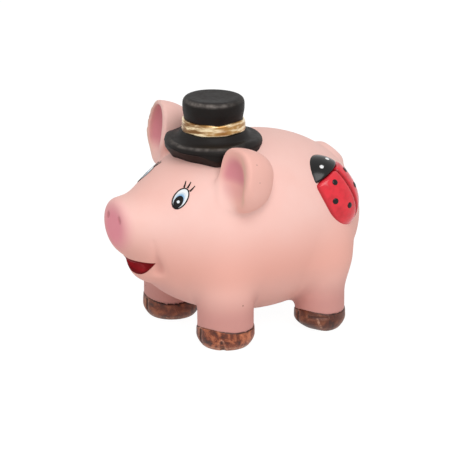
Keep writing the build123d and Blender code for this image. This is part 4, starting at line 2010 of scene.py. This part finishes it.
    def build(self, finish: bpy.types.Material) -> None:
        """Shapes the hoof, cuts its grooves and paints it.

        Args:
            finish: The hoof's paint.
        """
        height = self.casting.hoof_height
        bpy.ops.object.select_all(action="DESELECT")
        bpy.ops.mesh.primitive_cylinder_add(
            vertices=96,
            radius=self.ankle * MM,
            depth=height * MM,
            location=Vector(self.foot + (0, 0, height / 2)) * MM,
        )
        word = f"{self.end.value}_{self.side.word}"
        piece = newest(f"hoof_{word}_painted")
        remesh(piece, self.voxel)
        points = settle_on(self.shape, points_of(piece), rounds=14)
        points[:, 2] = np.maximum(points[:, 2], 0)
        set_points(piece, points)
        self.wash(piece, points)
        hand_over(piece, "hoof_brown", finish, f"hoof_{word}")


@dataclass
class PaintedEyes:
    """Both eyes, painted in fine films on the face, in millimetres."""

    casting: Casting
    station: float = -39.4
    turns: dict[Side, float] = field(default_factory=lambda: {Side.LEFT: 39.8, Side.RIGHT: 29.6})
    lean: float = -18.0
    half_width: float = 2.65
    half_height: float = 4.4
    line: float = 0.42
    line_overlap: float = 0.1
    iris: Ramp = (2.2, 3.3)
    iris_drop: float = 0.7
    iris_pooled_paint_and_shade: Ramp = (1.0, 0.55)
    pupil: Ramp = (1.8, 2.7)
    pupil_drop: float = 1.7
    glint_radius: float = 0.6
    lash_length: float = 3.1
    lash_width: float = 0.8
    lash_taper: float = 0.55
    lash_bow: float = 0.35
    lash_gap: float = 0.2
    lash_places: Triple = (112.0, 87.0, 57.0)
    lash_fan: float = 0.55
    film: float = 0.08

    def axes(self, side: Side) -> Axes:
        """Finds the axes of an eye.

        Args:
            side: Which eye.

        Returns:
            Axes with x away from the nose, y up the face and z out of it.
        """
        way = side.value
        found = self.casting.skin_axes(self.station, way * self.turns[side], way * self.lean)
        return Axes(found.origin, way * found.x, found.y, found.z)

    def laid(self, name: str, flat: bpy.types.Object, lift: float, side: Side) -> bpy.types.Object:
        """Lays a flat shape on the face and gives it the thickness of paint.

        Args:
            name: The film's name.
            flat: A sheet in the eye's plane, in metres.
            lift: How far its underside stands off the skin.
            side: Which eye it belongs to.

        Returns:
            The film.
        """
        start = self.axes(side).world(points_of(flat))
        set_points(flat, settle_on(lambda points: self.casting.skin(points) - lift, start, rounds=6))
        apply_modifier(flat, "SOLIDIFY", thickness=self.film * MM, offset=float(side.value))
        rename(flat, name)
        face_outwards(flat, weld=0.0005)
        return flat

    def disc(self, radii: Ramp, drop: float, hole: Ramp = (0.0, 0.0)) -> bpy.types.Object:
        """Adds a flat oval, or a ring, in the eye's plane.

        Args:
            radii: Its half width and half height.
            drop: How far its middle is below the eye's.
            hole: The half width and half height of its hole.

        Returns:
            The oval, as rings of faces.
        """
        bpy.ops.object.select_all(action="DESELECT")
        bpy.ops.mesh.primitive_grid_add(x_subdivisions=72, y_subdivisions=8, size=2)
        piece = newest("oval")
        points = points_of(piece) * MM
        angle, share = points[:, 0] * math.pi, (points[:, 1] + 1) / 2
        width = hole[0] + (radii[0] - hole[0]) * share
        height = hole[1] + (radii[1] - hole[1]) * share
        oval = [width * np.cos(angle), height * np.sin(angle) - drop, 0 * angle]
        set_points(piece, np.stack(oval, 1))
        face_outwards(piece, weld=0.002)
        if piece.data.polygons[0].normal.z < 0:
            in_edit_mode(piece)
            bpy.ops.mesh.flip_normals()
            bpy.ops.object.mode_set(mode="OBJECT")
        return piece

    def lash(self, place: float) -> bpy.types.Object:
        """Adds one tapered lash in the eye's plane.

        Args:
            place: Where round the eye it is rooted, in degrees.

        Returns:
            The lash.
        """
        at, aim = math.radians(place), math.radians(90 + self.lash_fan * (place - 90))
        margin = self.line + self.lash_gap
        root_x = (self.half_width + margin) * math.cos(at)
        root_y = (self.half_height + margin) * math.sin(at)
        bpy.ops.object.select_all(action="DESELECT")
        bpy.ops.mesh.primitive_grid_add(x_subdivisions=16, y_subdivisions=4, size=2)
        stroke = newest("lash")
        points = points_of(stroke) * MM
        along = (points[:, 0] + 1) / 2
        width = self.lash_width / 2 * (1 - self.lash_taper * along)
        ahead = along * self.lash_length
        aside = points[:, 1] * width + self.lash_bow * along**2
        x = root_x + ahead * math.cos(aim) - aside * math.sin(aim)
        y = root_y + ahead * math.sin(aim) + aside * math.cos(aim)
        set_points(stroke, np.stack([x, y, 0 * along], 1))
        return stroke

    def lashes(self) -> bpy.types.Object:
        """Adds all of an eye's lashes as one flat piece."""
        return join("lashes", [self.lash(place) for place in self.lash_places])

    def build(self) -> None:
        """Paints both eyes, film by film."""
        white = GlossEnamel("white_eye_enamel", "#EEF1F3", "#B9CFDE", 0.3).material()
        blue = GlossEnamel("pale_blue_iris_enamel", "#DDE8F0", "#6C9FC8", 0.3).material()
        black = GlossEnamel("black_pupil_enamel", "#0F0C0B", "#2A1E19", 0.25, ior=1.3).material()
        brown = GlossEnamel("dark_brown_line_paint", "#1C0F0C", "#301B14", 0.5, ior=1.25).material()
        oval = (self.half_width, self.half_height)
        outline = (self.half_width + self.line, self.half_height + self.line)
        opening = (self.half_width - self.line_overlap, self.half_height - self.line_overlap)
        dot = (self.glint_radius, self.glint_radius)
        for side in Side:
            films = (
                ("eye_white", self.disc(oval, 0), 0.05, white, "eye_white"),
                ("eye_line", self.disc(outline, 0, opening), 0.08, brown, "line_brown"),
                ("iris", self.disc(self.iris, self.iris_drop), 0.1, blue, "iris_blue"),
                ("pupil", self.disc(self.pupil, self.pupil_drop), 0.15, black, "pupil_black"),
                ("glint", self.disc(dot, self.pupil_drop), 0.2, white, "eye_white"),
                ("lashes", self.lashes(), 0.04, brown, "line_brown"),
            )
            for name, flat, lift, finish, slot in films:
                film = self.laid(f"{name}_{side.word}_film", flat, lift, side)
                local = self.axes(side).local(points_of(film))
                pooled_paint_and_shade = np.zeros(len(local))
                if name == "iris":
                    x, y = local[:, 0] / self.iris[0], (local[:, 1] + self.iris_drop) / self.iris[1]
                    pooled_paint_and_shade = fade(np.hypot(x, y), *self.iris_pooled_paint_and_shade)
                set_attribute(film, "pooled_paint_and_shade", pooled_paint_and_shade)
                hand_over(film, slot, finish, f"{name}_{side.word}")


@dataclass
class Studio:
    """A white table under soft light, and the camera at the photograph's angle, in metres."""

    azimuth: float = 60.0
    elevation: float = 18.0
    distance: float = 2.0
    lens: float = 400.0
    sensor: float = 36.0
    target_mm: Triple = (-3.9, -1.4, 40.0)
    clip: Ramp = (0.1, 20.0)
    floor_size: float = 6.0
    floor_colour: str = "#E8E8E8"
    floor_glow: float = 1.12
    floor_glow_share: float = 0.86
    white: str = "#FFFFFF"
    ambient: float = 0.52
    lamp_size: float = 0.8
    lamp_target: Triple = (0.0, 0.0, 0.04)
    key_place: Triple = (0.86, -0.26, 0.95)
    key_power: float = 8.8
    fill_place: Triple = (-0.4, -0.95, 0.8)
    fill_power: float = 1.3

    def build_camera(self) -> None:
        """Sets the camera."""
        turn, rise = math.radians(self.azimuth), math.radians(self.elevation)
        level = math.cos(rise)
        back = Vector((math.sin(turn) * level, -math.cos(turn) * level, math.sin(rise)))
        data = bpy.data.cameras.new("camera")
        data.lens, data.sensor_width = self.lens, self.sensor
        data.clip_start, data.clip_end = self.clip
        camera = bpy.data.objects.new("camera", data)
        camera.location = Vector(self.target_mm) * MM + back * self.distance
        camera.rotation_euler = back.to_track_quat("Z", "Y").to_euler()
        bpy.context.scene.collection.objects.link(camera)
        bpy.context.scene.camera = camera

    def seen_directly(self, tree: bpy.types.NodeTree) -> bpy.types.NodeSocket:
        """Finds the rays that show the background, in the camera, in gloss or through glass.

        Args:
            tree: The node tree that asks.

        Returns:
            A socket that is 1 for those rays.
        """
        rays = add_node(tree, "ShaderNodeLightPath").outputs
        shown = rays["Is Camera Ray"]
        for kind in ("Is Glossy Ray", "Is Transmission Ray"):
            either = {0: shown, 1: rays[kind]}
            shown = add_node(tree, "ShaderNodeMath", either, operation="MAXIMUM").outputs[0]
        return shown

    def build_world(self) -> None:
        """Lights the scene softly from all round, with white behind."""
        world = bpy.data.worlds.new("soft_white_room")
        world.use_nodes = True
        tree = world.node_tree
        tree.nodes.clear()
        soft, full = [
            add_node(tree, "ShaderNodeBackground", {"Color": linear(self.white), "Strength": level})
            for level in (self.ambient, 1.0)
        ]
        sorts = {0: self.seen_directly(tree), 1: soft.outputs[0], 2: full.outputs[0]}
        mixed = add_node(tree, "ShaderNodeMixShader", sorts)
        add_node(tree, "ShaderNodeOutputWorld", {"Surface": mixed.outputs[0]})
        bpy.context.scene.world = world

    def build_floor(self) -> None:
        """Lays a white floor that shows a faint shadow."""
        bpy.ops.object.select_all(action="DESELECT")
        bpy.ops.mesh.primitive_plane_add(size=self.floor_size)
        floor = newest("floor")
        material, tree = new_material("white_table")
        matt = add_node(tree, "ShaderNodeBsdfDiffuse", {"Color": linear(self.floor_colour)})
        glow = {"Color": linear(self.white), "Strength": self.floor_glow}
        lit = add_node(tree, "ShaderNodeEmission", glow)
        part = {0: self.seen_directly(tree), 1: self.floor_glow_share}
        share = add_node(tree, "ShaderNodeMath", part, operation="MULTIPLY").outputs[0]
        both = {0: share, 1: matt.outputs[0], 2: lit.outputs[0]}
        mixed = add_node(tree, "ShaderNodeMixShader", both)
        add_node(tree, "ShaderNodeOutputMaterial", {"Surface": mixed.outputs[0]})
        floor.data.materials.append(material)

    def add_softbox(self, name: str, place: Triple, power: float) -> None:
        """Hangs a square lamp that looks at the pig.

        Args:
            name: The lamp's name.
            place: Where it hangs.
            power: Its power, in watts.
        """
        data = bpy.data.lights.new(name, "AREA")
        data.size, data.energy = self.lamp_size, power
        lamp = bpy.data.objects.new(name, data)
        lamp.location = place
        back = Vector(place) - Vector(self.lamp_target)
        lamp.rotation_euler = back.to_track_quat("Z", "Y").to_euler()
        bpy.context.scene.collection.objects.link(lamp)

    def build(self) -> None:
        """Sets the view transform, the camera, the room, the floor and the lamps."""
        bpy.context.scene.view_settings.view_transform = "Standard"
        self.build_camera()
        self.build_world()
        self.build_floor()
        self.add_softbox("key", self.key_place, self.key_power)
        self.add_softbox("fill", self.fill_place, self.fill_power)


def main() -> None:
    """Builds the studio and every piece of the pig."""
    logging.basicConfig(level=logging.INFO, format="%(name)s %(message)s")
    bpy.ops.object.select_all(action="DESELECT")
    Studio().build()
    casting = Casting()
    casting.build()
    Mouth(casting).build()
    TopHat(casting).build()
    Ladybird(casting).build()
    hoof_finish = HoofWash().material()
    for end, side in FEET:
        Hoof(casting, end, side).build(hoof_finish)
    PaintedEyes(casting).build()


if __name__ == "__main__":
    main()
